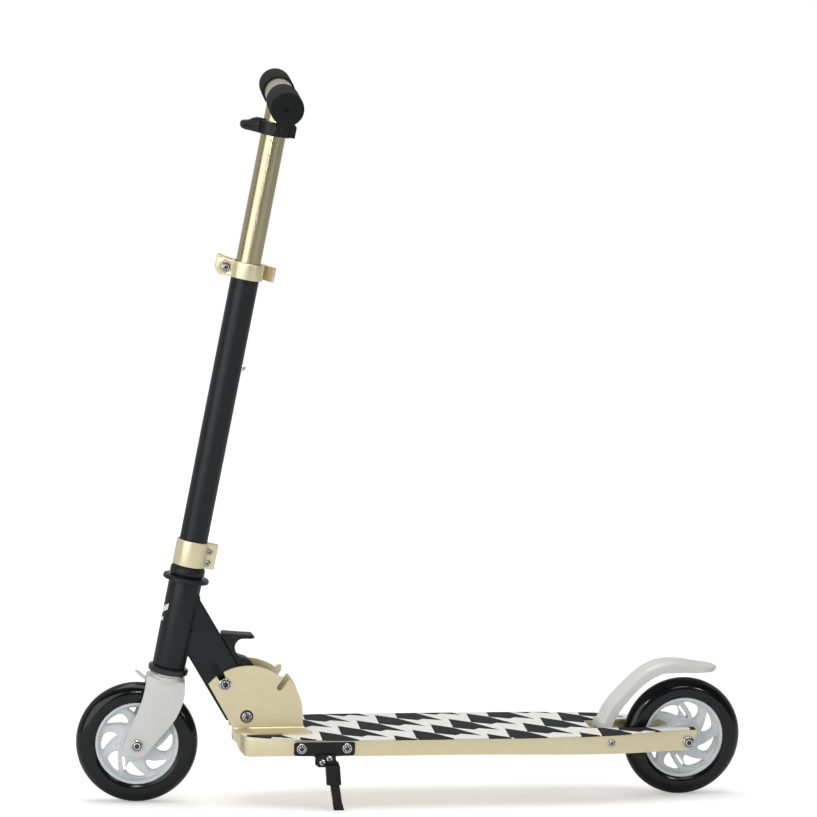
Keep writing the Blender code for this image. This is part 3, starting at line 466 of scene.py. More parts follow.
def grip_tape():
    """Gritty tape with an all-over print of dark jags on white, in slanted rows."""
    made = Nodes("grip_tape", 0.95, Specular_IOR_Level=0.15)
    area = PRINT_STEP[0] * PRINT_ROW[1] - PRINT_STEP[1] * PRINT_ROW[0]
    rotate = ((PRINT_ROW[1] / area, -PRINT_ROW[0] / area), (-PRINT_STEP[1] / area, PRINT_STEP[0] / area))
    wobble = made.node("TexNoise", {"Vector": made.place, "Scale": 900.0, "Detail": 3.0}).outputs["Color"]
    blur = (0.5 * MM, 0.5 * MM, 0)  # how far the print's edges wander
    shift = made.node("VectorMath", {0: wobble, 1: blur}, operation="MULTIPLY").outputs[0]
    moved = made.node("VectorMath", {0: made.place, 1: shift}, operation="ADD").outputs[0]
    origin = (PRINT_START[0] * MM, PRINT_START[1] * MM, 0)
    moved = made.node("VectorMath", {0: moved, 1: origin}, operation="SUBTRACT").outputs[0]
    parts = []
    for row in rotate:
        weights = (row[0] / MM, row[1] / MM, 0)
        share = made.node("VectorMath", {0: moved, 1: weights}, operation="DOT_PRODUCT")
        parts.append(share.outputs["Value"])
    across = made.maths("FRACT", parts[1])
    levels = []
    for points, scale in ((PRINT_LEFT, 2.0), (PRINT_WIDTH, 1.0)):
        ramp = made.node("ValToRGB", {"Fac": across})
        bands = ramp.color_ramp.elements
        while len(bands) < len(points):
            bands.new(0.5)
        for band, (at, value) in zip(bands, points):
            band.position = at
            band.color = (*[value / scale] * 3, 1)
        levels.append(made.maths("MULTIPLY", ramp.outputs[0], scale))
    along = made.maths("FRACT", made.maths("SUBTRACT", parts[0], levels[0]))
    dark = made.maths("LESS_THAN", along, levels[1])
    grit = made.node("TexVoronoi", {"Vector": made.place, "Scale": 1100.0}).outputs["Distance"]
    speck = made.noise(1600, 2)
    light = made.between(speck, (0.78, 0.78, 0.76), (0.92, 0.92, 0.90))
    black = made.between(speck, (0.010, 0.0105, 0.011), (0.055, 0.056, 0.058))
    made.use(Base_Color=made.node("Mix", {0: dark, 6: light, 7: black}, data_type="RGBA").outputs[2])
    made.bump((grit, 0.18, 0.6), (made.noise(400, 3), 0.1, 0.3))
    return made.material


def print_white():
    return coated("print_white", (0.74, 0.74, 0.73), (0.78, 0.78, 0.77), 0.45, 0.0, 1500, 0.01)


MATERIALS = [gold_paint, gold_gloss, black_paint, black_gloss, white_paint, bright_steel, dark_steel]
MATERIALS += [urethane, white_plastic, black_foam, black_plastic, grip_tape, print_white]
LOOKS = {make.__name__: make() for make in MATERIALS}


def piece(name, mesh, place, look, *nodes, body=None, sharp=32):
    """Places a finished mesh, gives it its look and puts it on its body in place of the CAD nodes named."""
    mesh.transform(TO_METRES)
    mesh.materials.clear()
    mesh.materials.append(LOOKS[look])
    mesh.shade_smooth()
    mesh.set_sharp_from_angle(angle=math.radians(sharp))
    made = bpy.data.objects.new(name, mesh)
    bpy.context.scene.collection.objects.link(made)
    made.matrix_world = FRAMES[place]
    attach(made, body or BODY_OF[nodes[0]])
    if nodes:
        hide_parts(*nodes)
    return made


# Bolts


def bolt_head(radius, thick, socket):
    """A button head standing on z = 0, with a groove round its crown and a hexagonal socket."""
    shares = [(0, 1), (0.50, 1), (0.58, 0.95), (0.63, 0.62), (0.72, 0.62), (0.77, 0.82), (0.90, 0.72)]
    shares += [(0.98, 0.45), (1, 0.2)]
    profile = [(radius * across, thick * above) for across, above in shares]
    profile += [(radius, 0.15), (radius - 0.15, 0), (0, 0)]
    head = lathe(profile, 64)
    hexagon = arc((0, 0), socket, 30, 330, 6)
    return shaped(head, cut=[slab(hexagon, thick * 0.25, thick + 2, TOP_VIEW)], edge=0.12, segments=2)


def painted_recess_shade(radius, thick, socket):
    """Painted shade: a dark ring in a head's groove and a dark floor in its socket, a hair above the bare steel.
    """
    inner, outer = radius * 0.625, radius * 0.735
    low, high = thick * 0.5, thick * 0.64
    ring = lathe([(inner, high), (outer, high), (outer, low), (inner, low)], 64)
    floor = slab(arc((0, 0), socket * 0.97, 30, 330, 6), thick * 0.1, thick * 0.34, TOP_VIEW)
    both = bmesh.new()
    both.from_mesh(ring)
    both.from_mesh(floor)
    return mesh_from(both)


def head_with_painted_shade(name, place, centre, face, size, node, shank=None):
    """A bolt's head on a left-hand face, joined to its shank, with painted shade in its groove and socket."""
    head = bolt_at(bolt_head(*size), centre, face)
    piece(name, shaped(head, join=[shank]) if shank else head, place, "bright_steel", node)
    # the dark pieces in the groove and socket are painted shade, not a finish of the steel
    dark = bolt_at(painted_recess_shade(*size), centre, face)
    piece(name + "_recess", dark, place, "dark_steel", body=BODY_OF[node])


def bolt_at(mesh, centre, face, side=1, spin=0):
    """Stands a head or nut on a face that looks along y, on the left (1) or the right (-1)."""
    turn = Matrix.Rotation(-math.pi / 2 * side, 4, "X") @ Matrix.Rotation(math.radians(spin), 4, "Z")
    return placed(mesh, (centre[0], side * face, centre[2]), turn=turn)


def nut_mesh(size, thick, bolt):
    """A flanged lock nut standing on z = 0, with the bolt's end in it."""
    hexagon = slab(arc((0, 0), size, 0, 300, 6), 0, thick, TOP_VIEW)
    crown = [(0, thick), (size * 0.72, thick), (size, thick * 0.72), (size * 1.05, -1), (0, -1)]
    body = shaped(hexagon, keep=[lathe(crown, 48)], edge=0.15, segments=2)
    low, high = thick - 1, thick + 1.2
    dome = lathe([(0, high), (bolt * 0.8, thick + 1.0), (bolt, thick + 0.4), (bolt, low), (0, low)], 32)
    return shaped(body, join=[dome])


def fastener(name, node_bolt, node_nut, place, centre, face, radius, shank, thick, socket):
    """A bolt through to its nut: the head with its shank on the left, and the nut on the right."""
    stem = rod(shank, -face - 1, face + 0.2, 0.2, at=(centre[0], 0, centre[2]), along="y", steps=32)
    head_with_painted_shade(name, place, centre, face, (radius, thick, socket), node_bolt, stem)
    if node_nut:
        nut = bolt_at(nut_mesh(radius * 0.98, thick * 1.1, shank), centre, face, -1, 15)
        piece(name + "_nut", nut, place, "bright_steel", node_nut)


# Wheels

WINDOW_FIRST, WINDOW_STEP = 26.0, 45.0


def polar(radius, angle):
    """A point of the hub, by its share of the rim's radius and its angle in degrees from rear to top."""
    turn = math.radians(angle)
    return (-radius * RIM_RADIUS * math.cos(turn), radius * RIM_RADIUS * math.sin(turn))


def hub_window(centre, grow=0.0):
    """A blunt comma: a straight edge that leans with the turn, and a round back towards the rim."""
    wide = 60 * grow
    spots = [(0.505 - grow, -12 - wide), (0.60 - grow * 0.6, -1 + wide), (0.72 - grow * 0.3, 10 + wide)]
    spots += [(0.835, 17.5 + wide), (0.865 + grow, 15 + wide), (0.858 + grow, 6), (0.830 + grow, -6)]
    spots += [(0.775 + grow * 0.6, -14 - wide), (0.65, -18.5 - wide), (0.54 - grow * 0.4, -18 - wide)]
    return smooth([polar(r, centre + a) for r, a in spots], 4, closed=True)


def hub_slit(centre):
    """A narrow slot that leans like the windows' straight edges."""
    inner, outer = Vector(polar(0.49, centre - 13)), Vector(polar(0.76, centre + 7))
    along = (outer - inner).normalized()
    across = Vector((-along.y, along.x)) * 1.5
    tip = along * 1.2
    ends = [inner + across, outer + across, outer + tip, outer - across, inner - across, inner - tip]
    return [tuple(point) for point in ends]


def wheel(name, place, slit):
    """A moulded hub with windows, the tyre cast on it, and a sealed bearing on each side."""
    rim, web = RIM_RADIUS, 4.6
    section = [(11.3, 11.9), (14.6, 11.9), (15.6, 11.0), (16.2, 7.2), (18.4, 5.6), (21.5, web + 0.2)]
    section += [(24, web), (33.6, web), (36.8, web + 0.5), (38.2, 6.0), (39.0, 8.4), (39.6, 9.6)]
    section += [(40.4, 10.2), (rim - 0.5, 10.3), (rim, 9.9)]
    section += [(r, -z) for r, z in reversed(section)]
    section += [(11.3, -4.6), (9.0, -4.6), (9.0, 4.6), (11.3, 4.6)]
    hub = lathe(section, 160, along="y")
    centres = [slit + WINDOW_FIRST + WINDOW_STEP * i for i in range(8)]
    pockets = [hub_window(centre, 0.035) for centre in centres]
    beyond = 14
    cuts = [slab(pockets, web - 1.1, beyond), slab(pockets, -beyond, 1.1 - web)]
    cuts.append(slab([hub_window(centre) for centre in centres], -beyond, beyond))
    cuts += [slab(hub_slit(slit + half), -beyond, beyond) for half in (0, 180)]
    hub = shaped(hub, cut=cuts, edge=0.45, segments=3)
    piece(f"{name}_hub_shown", hub, place, "white_plastic", f"{name}_hub", sharp=40)
    inner = rim + 0.05
    crown = [(inner, 10.2), (inner + 0.5, 10.7), (inner + 1.4, 10.9), (45.2, 11.6), (47.5, 11.95)]
    crown += arc((WHEEL_RADIUS - 12.0, 0), 12.0, 88, 1, 26)
    seam = [(WHEEL_RADIUS, 0.35), (WHEEL_RADIUS, -0.35)]
    tyre = [*crown, *seam, *[(r, -z) for r, z in reversed(crown)]]
    piece(f"{name}_tyre_shown", lathe(tyre, 192, along="y"), place, "urethane", f"{name}_tyre", sharp=50)
    low, high = 4.9, 11.9
    race = [(AXLE_HOLE, high), (5.9, high), (6.1, high - 0.5), (8.9, high - 0.5), (9.1, high)]
    race += [(10.6, high), (11.0, high - 0.4), (11.0, low), (AXLE_HOLE, low)]
    for hand, turn in (("left", 1), ("right", -1)):
        bearing = f"{name}_bearing_{hand}"
        ring = lathe([(r, turn * z) for r, z in race], 64, along="y")
        piece(bearing + "_shown", ring, place, "bright_steel", bearing)


# Deck

DECK_HALF_WIDTH = [(-12, 28.7), (0, 30), (22, 33.6), (45, 40), (77, 48.2), (104, 52.4), (150, 56.2)]
DECK_HALF_WIDTH += [(220, 57.2), (300, 57.6), (372, 57.6), (398, 55), (425, 49.6), (450, 42.4), (466, 36)]
DECK_HALF_WIDTH += [(473, 28), (476.6, 16), (477.6, 6)]
SLOT_HALF, SLOT_FRONT, SHEET = 17.5, 102.0, 2.0
AXLE = (0, 0, WHEEL_RADIUS)
FENDER_BOLT = tuple(point_in("fender", "stance"))
FOLD_BOLT = tuple(point_in("fold", "stance"))
STAND_BOLT = tuple(point_in("stand", "stance"))
STAND_SCREWS = {"front": (416.5, 0, 68.2), "rear": (369.3, 0, 68.2)}


def deck_outline(inset):
    """The deck in plan, drawn in by the inset."""
    half = smooth(DECK_HALF_WIDTH, 5)
    half = [(x, w - inset) for x, w in half]
    half[0] = (half[0][0] + inset, half[0][1])
    half[-1] = (half[-1][0] - inset, half[-1][1])
    return half + [(x, -y) for x, y in reversed(half)]


def deck():
    """A folded sheet, its edges turned down and rounded along the bend, forked round the rear wheel."""
    low_edge = smooth([(470, 54.2), (424, 57.9), (360, 59.2), (240, 58.9), (150, 57.4), (60, 55)], 3)
    profile = [(-10.6, 75), (479, 75), (477.2, 66), (474.6, 58.6)]
    profile += [*low_edge, (8, 53.6), (1, 53.9), (-3, 57)]
    outside = slab(deck_outline(0), 40, DECK_TOP, TOP_VIEW)
    wall = SLOT_HALF + SHEET
    inside = slab(deck_outline(SHEET), 30, DECK_TOP - SHEET, TOP_VIEW)
    inside = shaped(inside, cut=[block((-40, -wall, 20), (SLOT_FRONT + SHEET, wall, 90))])
    shell = shaped(outside, keep=[slab(profile, -70, 70)])
    holes = [inside, block((-60, -SLOT_HALF, 10), (SLOT_FRONT, SLOT_HALF, 95))]
    holes.append(crosswise(AXLE_HOLE, -80, 80, AXLE))
    holes.append(crosswise(2.8, -80, 80, FENDER_BOLT))
    holes += [crosswise(2.8, 45, 70, centre) for centre in STAND_SCREWS.values()]
    piece("deck_shown", shaped(shell, cut=holes, edge=0.7, segments=4), "stance", "gold_paint", "deck")


def tape():
    """The printed sheet on the deck, open over the wheel."""
    sheet = slab(deck_outline(1.2), TAPE_LOW - 0.25, TAPE_HIGH, TOP_VIEW)
    half = SLOT_HALF + 0.8
    slot = block((-60, -half, 60), (SLOT_FRONT + 0.8, half, 90))
    end = block((-60, -80, 60), (-8, 80, 90))
    sheet = shaped(sheet, cut=[slot, end], edge=0.2, segments=2)
    piece("grip_tape_shown", sheet, "stance", "grip_tape", "grip_tape")


# Folding joint


def notch(start, rear_edge, front_edge, half=3.2, length=24):
    """The outline of a lock notch: round at the bottom, opening outwards between two directions."""
    outline = arc(start, half, rear_edge + 90, front_edge + 270, 13)
    for angle, hand in ((front_edge, -1), (rear_edge, 1)):
        turn = math.radians(angle)
        x = start[0] + length * math.cos(turn) - hand * half * math.sin(turn)
        z = start[1] + length * math.sin(turn) + hand * half * math.cos(turn)
        outline.append((x, z))
    return outline


def fold_plate(hand):
    """A side plate of the folding joint, its foot turned out onto the deck."""
    name = "fold_plate_left" if hand > 0 else "fold_plate_right"
    pivot = (FOLD_BOLT[0], FOLD_BOLT[2])
    low = 76.2
    rim, shoulder = (53.2, 58.5) if hand > 0 else (56.6, 60.3)
    outline = [(480.4, low), (481.0, 81.0)]
    if hand > 0:
        outline += arc(pivot, 53.4, 40.2, 60, 14)
    else:
        outline += [(508.6, 127.0), (508.8, 128.6), (507.6, 130.2), (499.4, 137.0)]
    outline += arc(pivot, rim, 62, 126, 34)
    if hand < 0:
        outline += [(433.5, 139.6), (427.6, 140.2), (427.6, 134.0)]
    outline += [*arc(pivot, shoulder, 140.5, 178, 22), (407.3, 84), (406.0, low)]
    inner, outer = sorted((hand * PLATE_INNER, hand * PLATE_OUTER))
    lock_reach, lock_angle = 41.9, math.radians(55.4)
    locked = (pivot[0] + lock_reach * math.cos(lock_angle), pivot[1] + lock_reach * math.sin(lock_angle))
    folded = (pivot[0] - 33.8, pivot[1] + 30.0)
    cuts = [slab(notch(locked, 68, 58.6), -20, 20), slab(notch(folded, 126, 124), -20, 20)]
    cuts.append(rod(AXLE_HOLE, -33, 33, at=(pivot[0], 0, pivot[1]), along="y", steps=48))
    flare = [(479.6, 11.6), (478.6, 20), (474, 27.5), (467, 32), (412, 33), (403.5, 30.5), (400.5, 27)]
    flare.append((405.5, 11.6))
    foot = slab([(x, hand * y) for x, y in flare], low, low + 1.9, TOP_VIEW)
    plate = slab(outline, inner, outer)
    fillet = [(12.6, low + 0.5), (16.6, low + 1.8), (14.4, low + 2.5), (12.6, low + 4.4)]
    bend = slab([(hand * y, z) for y, z in fillet], 405.9, 479.6, FRONT_VIEW)
    piece(name + "_shown", shaped(plate, join=[foot, bend], cut=cuts, edge=0.5), "stance", "gold_paint", name)


def neck():
    """The down tube with rounded corners, welded to the head tube."""
    half, top, low, start, end = 10.0, 19.9, -19.8, 6.0, 152.0
    body = slab(rounded_box(half, low, top, 3.2), start, end, FRONT_VIEW)
    back = [*arc((0, 0), 14.0, 90, 270, 25), (start + 30, -14.0), (start + 30, 14.0)]
    round_end = slab(back, -half, half)
    to_latch = from_frame("head", "latch")
    wide = HEAD_TUBE_RADIUS
    head = [(0, 171.7), (wide - 0.4, 171.7), (wide, 171.3), (wide, 82.2), (wide - 0.4, 81.8), (0, 81.8)]
    bore = rod(15.4, 30, 240, turn=to_latch)
    front = block((0, -60, -20), (140, 60, 280))
    front.transform(to_latch)
    inside = slab([(-40, 15.5), (100, 15.5), (100, -15.5), (-40, -15.5)], -7.6, 7.6)
    lock_slot = slab(arc((0, 0), 3.2, 90, 270, 13) + arc((21, 0), 3.2, -90, 90, 13), -30, 30, at=LOCK_AT)
    window = block((34, -6, 10), (74, 6, 30))
    bolt = crosswise(AXLE_HOLE, -30, 30, steps=48)
    shell = shaped(body, join=[round_end], cut=[front])
    cuts = [bore, inside, lock_slot, window, bolt]
    shell = shaped(shell, join=[lathe(head, 96, turn=to_latch)], cut=cuts, edge=0.7, segments=3)
    piece("neck_shown", shell, "latch", "black_paint", "neck_frame", sharp=40)
    weld(to_latch)


def weld(to_latch):
    """The bead where the down tube meets the head tube, along their seam."""
    count, sides = 160, 10
    centre, axis = to_latch.translation, to_latch.to_3x3().col[2]
    radial = Vector((axis.z, 0, -axis.x))
    seam = []
    for i in range(count):
        turn = 2 * math.pi * i / count
        square = max(abs(math.cos(turn)), abs(math.sin(turn)))
        spot = Vector((0, 9.9 * math.cos(turn) / square, 19.8 * math.sin(turn) / square))
        reach = math.sqrt(HEAD_TUBE_RADIUS**2 - spot.y**2)
        along = ((centre - spot).dot(radial) - reach) / radial.x
        seam.append(spot + Vector((along, 0, 0)))
    rings = []
    for i, point in enumerate(seam):
        ahead = (seam[(i + 1) % count] - seam[i - 1]).normalized()
        across = ahead.cross(axis).normalized()
        other = ahead.cross(across)
        size = 1.5 + 0.22 * math.sin(i * math.pi / 2)
        spots = [2 * math.pi * k / sides for k in range(sides)]
        rings.append([point + (across * math.cos(a) + other * math.sin(a)) * size for a in spots])
    piece("neck_weld", bead(rings), "latch", "black_paint", body="neck", sharp=60)


def head_stripes():
    """Two plain slanted bars on the head tube, wrapped a hair proud of it."""
    stripes = {"upper": ((135.0, 141.5), (-24, 34), 0.17), "lower": ((126.5, 130.5), (-24, 18), 0.1)}
    for name, (levels, angles, slope) in stripes.items():
        solid = bmesh.new()
        wrap(solid, HEAD_TUBE_RADIUS + 0.06, levels, angles, 14, slope)
        piece(f"head_stripe_{name}", mesh_from(solid), "head", "print_white", body="neck")


def headset():
    """The pressed cups at the head tube's two ends."""
    upper = [(15.1, 172.0), (23.0, 172.0), (23.7, 172.6), (23.7, 175.4), (23.1, 176.2), (20.5, 176.8)]
    upper += [(19.2, 177.0), (18.4, 177.0), (18.4, 174), (13.3, 174), (13.3, 160), (15.1, 160)]
    piece("headset_cup_upper_shown", lathe(upper), "head", "black_paint", "headset_cup_upper")
    lower = [(15.1, 95), (15.1, 81.5), (18.2, 81.5), (19.8, 80.9), (20.7, 79.6), (20.7, 76.4), (20.2, 75.2)]
    lower += [(19.2, 74.6), (18.4, 74.6), (18.4, 78.2), (13.3, 78.2), (13.3, 95)]
    piece("headset_cup_lower_shown", lathe(lower), "head", "black_gloss", "headset_cup_lower")


def release_lever():
    """The finger tab over a hollow for the finger, with ribs across its face."""
    body = [(39.5, 20.4), (80, 20.2), (84.4, 20.6), (86.4, 22.0), (86.2, 24.4), (82.0, 30.2), (76.0, 38.4)]
    body += [(70.6, 46.2), (69.4, 48.0), (67.6, 48.6), (66.6, 47.4), (67.4, 44.4), (71.0, 38.8), (73.0, 34.2)]
    body += [(72.0, 29.4), (68.4, 25.6), (63.0, 24.2), (58.4, 24.6), (55.0, 27.0), (50.6, 30.8), (45.0, 33.0)]
    body += [(40.4, 32.4), (38.2, 28.0)]
    main = slab(smooth(body, 3, closed=True), -9, 9)
    stem = slab([(36.5, -8), (48, -8), (53.5, 12), (53.5, 24), (49.6, 24), (46, 12), (36.5, 5)], -4.5, 4.5)
    slider = block((12, -7.2, -9), (74, 7.2, 5))
    pin = crosswise(3.2, -20, 20, LOCK_AT)
    grooves = []
    for i in range(5):
        grooves.append(rod(0.55, -12, 12, at=(45.6 + 2.4 * i, 0, 33.6 - 0.25 * i * i), along="y", steps=16))
    for i in range(4):
        grooves.append(rod(0.5, -12, 12, at=(75.2 + 2.6 * i, 0, 44.6 - 3.6 * i), along="y", steps=16))
    lever = shaped(main, join=[stem, slider], cut=[pin, *grooves], edge=0.5)
    piece("release_lever_shown", lever, "latch", "black_plastic", "release_lever")


def lock_bolt():
    """The pin between the fold plates, with its head and nut outside them."""
    pin = rod(2.9, 0.1 - PLATE_INNER, PLATE_INNER - 0.1, 0.2, at=LOCK_AT, along="y", steps=48)
    piece("lock_pin_shown", pin, "latch", "bright_steel", "lock_pin")
    face = PLATE_OUTER + 0.05
    head_with_painted_shade("lock_bolt_head_shown", "latch", LOCK_AT, face, (6.6, 3.6, 3.2), "lock_bolt_head")
    nut = bolt_at(nut_mesh(6.6, 4.0, 2.9), LOCK_AT, face, -1)
    piece("lock_bolt_nut_shown", nut, "latch", "bright_steel", "lock_bolt_nut")


def fold_bolt():
    """The folding joint's bolt, on a cupped washer at each side."""
    centre = (0, 0, 0)
    cup = [(3.8, 1.1), (5.6, 1.1), (6.7, 0.6), (6.9, 0), (3.8, 0)]
    for hand, name in ((1, "left"), (-1, "right")):
        ring = bolt_at(lathe(cup, 48), centre, PLATE_OUTER, hand)
        piece(f"fold_washer_{name}", ring, "fold", "dark_steel", body="deck_body")
    face = PLATE_OUTER + 1.0
    fastener("fold_bolt_shown", "fold_pivot_bolt", "fold_pivot_nut", "fold", centre, face, 5.2, 3.9, 2.8, 2.6)


# Fork and stem

FORK_AXLE = tuple(point_in("front_axle", "steering"))


def fork():
    """Two legs and the bridge over the wheel, bent from one sheet, with a drilled tab in front."""
    centre = (FORK_AXLE[0], FORK_AXLE[2])
    legs = smooth([(20.4, 72), (20.3, 60), (20.4, 50), (21.8, 38), (24.6, 24), (28.2, 9)], 4)
    legs += arc(centre, 12.9, 30, -148, 33)
    rear = [(-3.6, 8.4), (-9.0, 17), (-14.4, 27), (-18.4, 38), (-20.6, 50), (-20.6, 60), (-18.6, 72)]
    legs += smooth(rear, 4)
    sheet = slab(legs, -20, 20)
    out, thick, bend = 20.0, 3.0, 8.0
    left, right = (out - bend, 69.6 - bend), (bend - out, 69.6 - bend)
    shell = [(out, -40), *arc(left, bend, 0, 90, 11), *arc(right, bend, 90, 180, 11), (-out, -40)]
    shell += [(thick - out, -40), *arc(right, bend - thick, 180, 90, 11), *arc(left, bend - thick, 90, 0, 11)]
    shell.append((out - thick, -40))
    sheet = shaped(sheet, keep=[slab(shell, -50, 50, FRONT_VIEW)])
    race = lathe([(0, 72.4), (17.2, 72.4), (18.4, 71.6), (18.4, 70.4), (17.6, 70.0), (17.6, 67), (0, 67)], 96)
    half, hole = 5.4, (10.4, 0, 0)
    tab = [(-1, -half), (8, -half), *arc(hole[:2], half, -70, 70, 13), (8, half), (-1, half)]
    rise = Matrix.Translation((18.6, 0, 62.9)) @ Matrix.Rotation(math.radians(-27), 4, "Y")
    tab = slab(tab, -1.0, 1.0, TOP_VIEW)
    tab.transform(rise)
    cuts = [rod(12.9, 50, 90), rod(2.7, -4, 4, turn=rise @ Matrix.Translation(hole), steps=32)]
    cuts.append(crosswise(AXLE_HOLE, -40, 40, FORK_AXLE, 48))
    lip = block((17.4, -half, 61.9), (19.9, half, 68.5))
    made = shaped(sheet, join=[race, lip, tab], cut=cuts, edge=0.6)
    piece("fork_shown", made, "steering", "white_paint", "fork")
    washer = lathe([(13.0, 74.2), (17.9, 74.2), (18.2, 73.9), (18.2, 72.9), (17.9, 72.6), (13.0, 72.6)], 96)
    piece("crown_washer", washer, "steering", "bright_steel", body="steering")


def axle(end, place, centre, face):
    """A wheel's axle: a long bolt with its nut."""
    nodes = f"{end}_axle_bolt", f"{end}_axle_nut"
    fastener(f"{end}_axle_shown", *nodes, place, centre, face, 6.4, 3.9, 3.8, 2.6)


def stem():
    """The outer tube, with the height button's hole behind and the lock collar below."""
    black = tube(STEM_BORE, STEM_RADIUS, 178.2, STEM_TOP, 0.4)
    black = shaped(black, cut=[rod(BUTTON_HOLE, -20, -8, at=(0, 0, HOLE_HEIGHT), along="x", steps=32)])
    piece("stem_tube_shown", black, "steering", "black_paint", "stem_outer_tube", sharp=40)
    collar = [(14.5, 187.6), (15.6, 187.4), (17.0, 186.4), (17.9, 184.4), (17.9, 179.4), (17.3, 178.0)]
    collar += [(16.4, 177.6), (14.5, 177.6)]
    piece("lock_collar_shown", lathe(collar), "steering", "black_paint", "headset_lock_collar")
    stem_marks()


def stem_marks():
    """A plain run of bars up the front of the stem."""
    solid = bmesh.new()
    for i in range(6):
        wrap(solid, STEM_RADIUS + 0.04, (262 + i * 24.0, 276 + i * 24.0), (-30, 6), 8)
    piece("stem_marks", mesh_from(solid), "steering", "print_white", body="steering")


def stem_clamp():
    """A split band round the stem, pinched behind by two bolts."""
    low, high = 188.0, 214.2
    band = tube(CLAMP_BORE, 16.9, low, high, 0.4)
    ear = [(-26.0, low), (-13.5, low), (-13.5, high), (-25.0, high), (-26.0, high - 1.0)]
    face = 4.4
    ears = slab(ear, -face, face)
    cuts = [rod(CLAMP_BORE, low - 5, high + 5), block((-40, -1.3, low - 9), (-12, 1.3, high + 9))]
    bolts = {"upper": (-18.4, 0, 206.0), "lower": (-18.4, 0, 194.4)}
    cuts += [crosswise(1.9, -9, 9, centre) for centre in bolts.values()]
    band = shaped(band, join=[ears], cut=cuts, edge=0.5)
    piece("stem_clamp_shown", band, "steering", "gold_paint", "stem_clamp")
    for end, centre in bolts.items():
        name = f"stem_clamp_bolt_{end}"
        fastener(name + "_shown", name, None, "steering", centre, face, 3.3, 1.7, 2.4, 1.4)


def quick_clamp():
    """The quick-release band at the stem's top, with its lever wrapped round the far side."""
    low, high = 488.6, 505.0
    band = tube(CLAMP_BORE, 17.4, low, high, 0.5)
    lobe = [(13, low), (27.2, low), (32.2, 493.4), (32.0, 506.6), (30.4, 507.8), (24.0, 506.4), (13, high)]
    cuts = [rod(CLAMP_BORE, 480, 520), block((12, -1.6, 480), (50, 1.6, 520))]
    cuts.append(crosswise(2.9, -20, 20, QUICK_BOLT))
    cuts.append(crosswise(5.6, 7.6, 12, QUICK_BOLT, 48))
    band = shaped(band, join=[slab(lobe, -8.6, 8.6)], cut=cuts, edge=0.7)
    piece("quick_clamp_shown", band, "steering", "gold_paint", "quick_clamp")
    pin = rod(2.6, -8.4, 8.2, 0.2, at=QUICK_BOLT, along="y", steps=32)
    size = (5.2, 3.0, 2.2)
    head_with_painted_shade("quick_bolt_shown", "steering", QUICK_BOLT, 7.7, size, "quick_clamp_bolt", pin)
    axis = point_in("lever", "steering")
    centre = (-axis.x, -axis.y)
    outer = [*arc(centre, 22.6, -42, -160, 40), (-46.4, 9.4), (-50.6, 14.4)]
    back = [(-48.2, 15.8), (-44.0, 11.2), *arc(centre, 19.6, -160, -46, 40)]
    lever = slab([*outer, *back], -7.4, 7.4, TOP_VIEW)
    cam = rod(5.4, -7.4, 7.4, 0.4, steps=48)
    around = math.radians(-156)
    turn = Matrix.Rotation(around, 4, "Z") @ ALONG["x"]
    spot = (centre[0] + 21 * math.cos(around), centre[1] + 21 * math.sin(around))
    cuts = [rod(1.6, -4, 4, at=(*spot, height), turn=turn, steps=32) for height in (-3.1, 3.1)]
    lever = shaped(lever, join=[cam], cut=cuts, edge=0.6)
    piece("quick_lever_shown", lever, "lever", "gold_paint", "quick_lever")


# Handlebar


def t_tube():
    """The inner tube and the bar welded across its top."""
    bore, bar_bore = 11.2, 13.0
    inner = tube(bore, INNER_TUBE_RADIUS, 385, BAR_HEIGHT - 12.5, 0.3)
    bar = tube(bar_bore, BAR_RADIUS, -157, 157, 0.3, at=(0, 0, BAR_HEIGHT), along="y")
    saddle = rod(INNER_TUBE_RADIUS, BAR_HEIGHT - 20, BAR_HEIGHT - 6)
    hollow = rod(bar_bore, -170, 170, at=(0, 0, BAR_HEIGHT), along="y")
    cuts = [rod(bore, 380, BAR_HEIGHT - 13.8)]
    for height in (HOLE_HEIGHT, HOLE_HEIGHT + 50, HOLE_HEIGHT + 100):
        cuts.append(rod(BUTTON_HOLE, -20, -6, at=(0, 0, height), along="x", steps=32))
    made = shaped(bar, join=[shaped(saddle, cut=[hollow])])
    made = shaped(made, join=[inner], cut=cuts, edge=0.5)
    piece("t_tube_shown", made, "steering", "gold_gloss", "t_tube", sharp=40)
    bar_weld()


def bar_weld():
    """The bead round the inner tube where it meets the bar."""
    count, sides = 120, 10
    rings = []
    for i in range(count):
        turn = 2 * math.pi * i / count
        out = Vector((math.cos(turn), math.sin(turn), 0))
        spot = out * INNER_TUBE_RADIUS
        spot.z = BAR_HEIGHT - math.sqrt(BAR_RADIUS**2 - spot.x**2)
        size = 1.25 + 0.15 * math.sin(i * math.pi / 2)
        angles = [2 * math.pi * k / sides for k in range(sides)]
        rings.append([spot + (out * math.cos(a) + Vector((0, 0, math.sin(a)))) * size for a in angles])
    piece("bar_weld", bead(rings), "steering", "gold_paint", body="handlebar", sharp=60)


def grip(name, hand):
    """A foam sleeve with a rounded, dimpled end."""
    end, start = 163.4, 52.0
    profile = [(0, end - 2.4), (1.6, end - 2.2), (2.6, end - 0.4), (3.6, end)]
    profile += arc((13.4, end - 3.2), 3.2, 90, 0, 8)
    profile += [(16.7, end - 12), (16.72, 110), (16.7, start + 1.6), (16.2, start + 0.4), (15.4, start)]
    profile += [(14.55, start), (14.55, end - 5), (0, end - 5)]
    turn = Matrix.Rotation(-hand * math.pi / 2, 4, "X")
    made = lathe(profile, 128, at=(0, 0, BAR_HEIGHT), turn=turn)
    piece(f"grip_{name}_shown", made, "steering", "black_foam", f"grip_{name}", sharp=50)


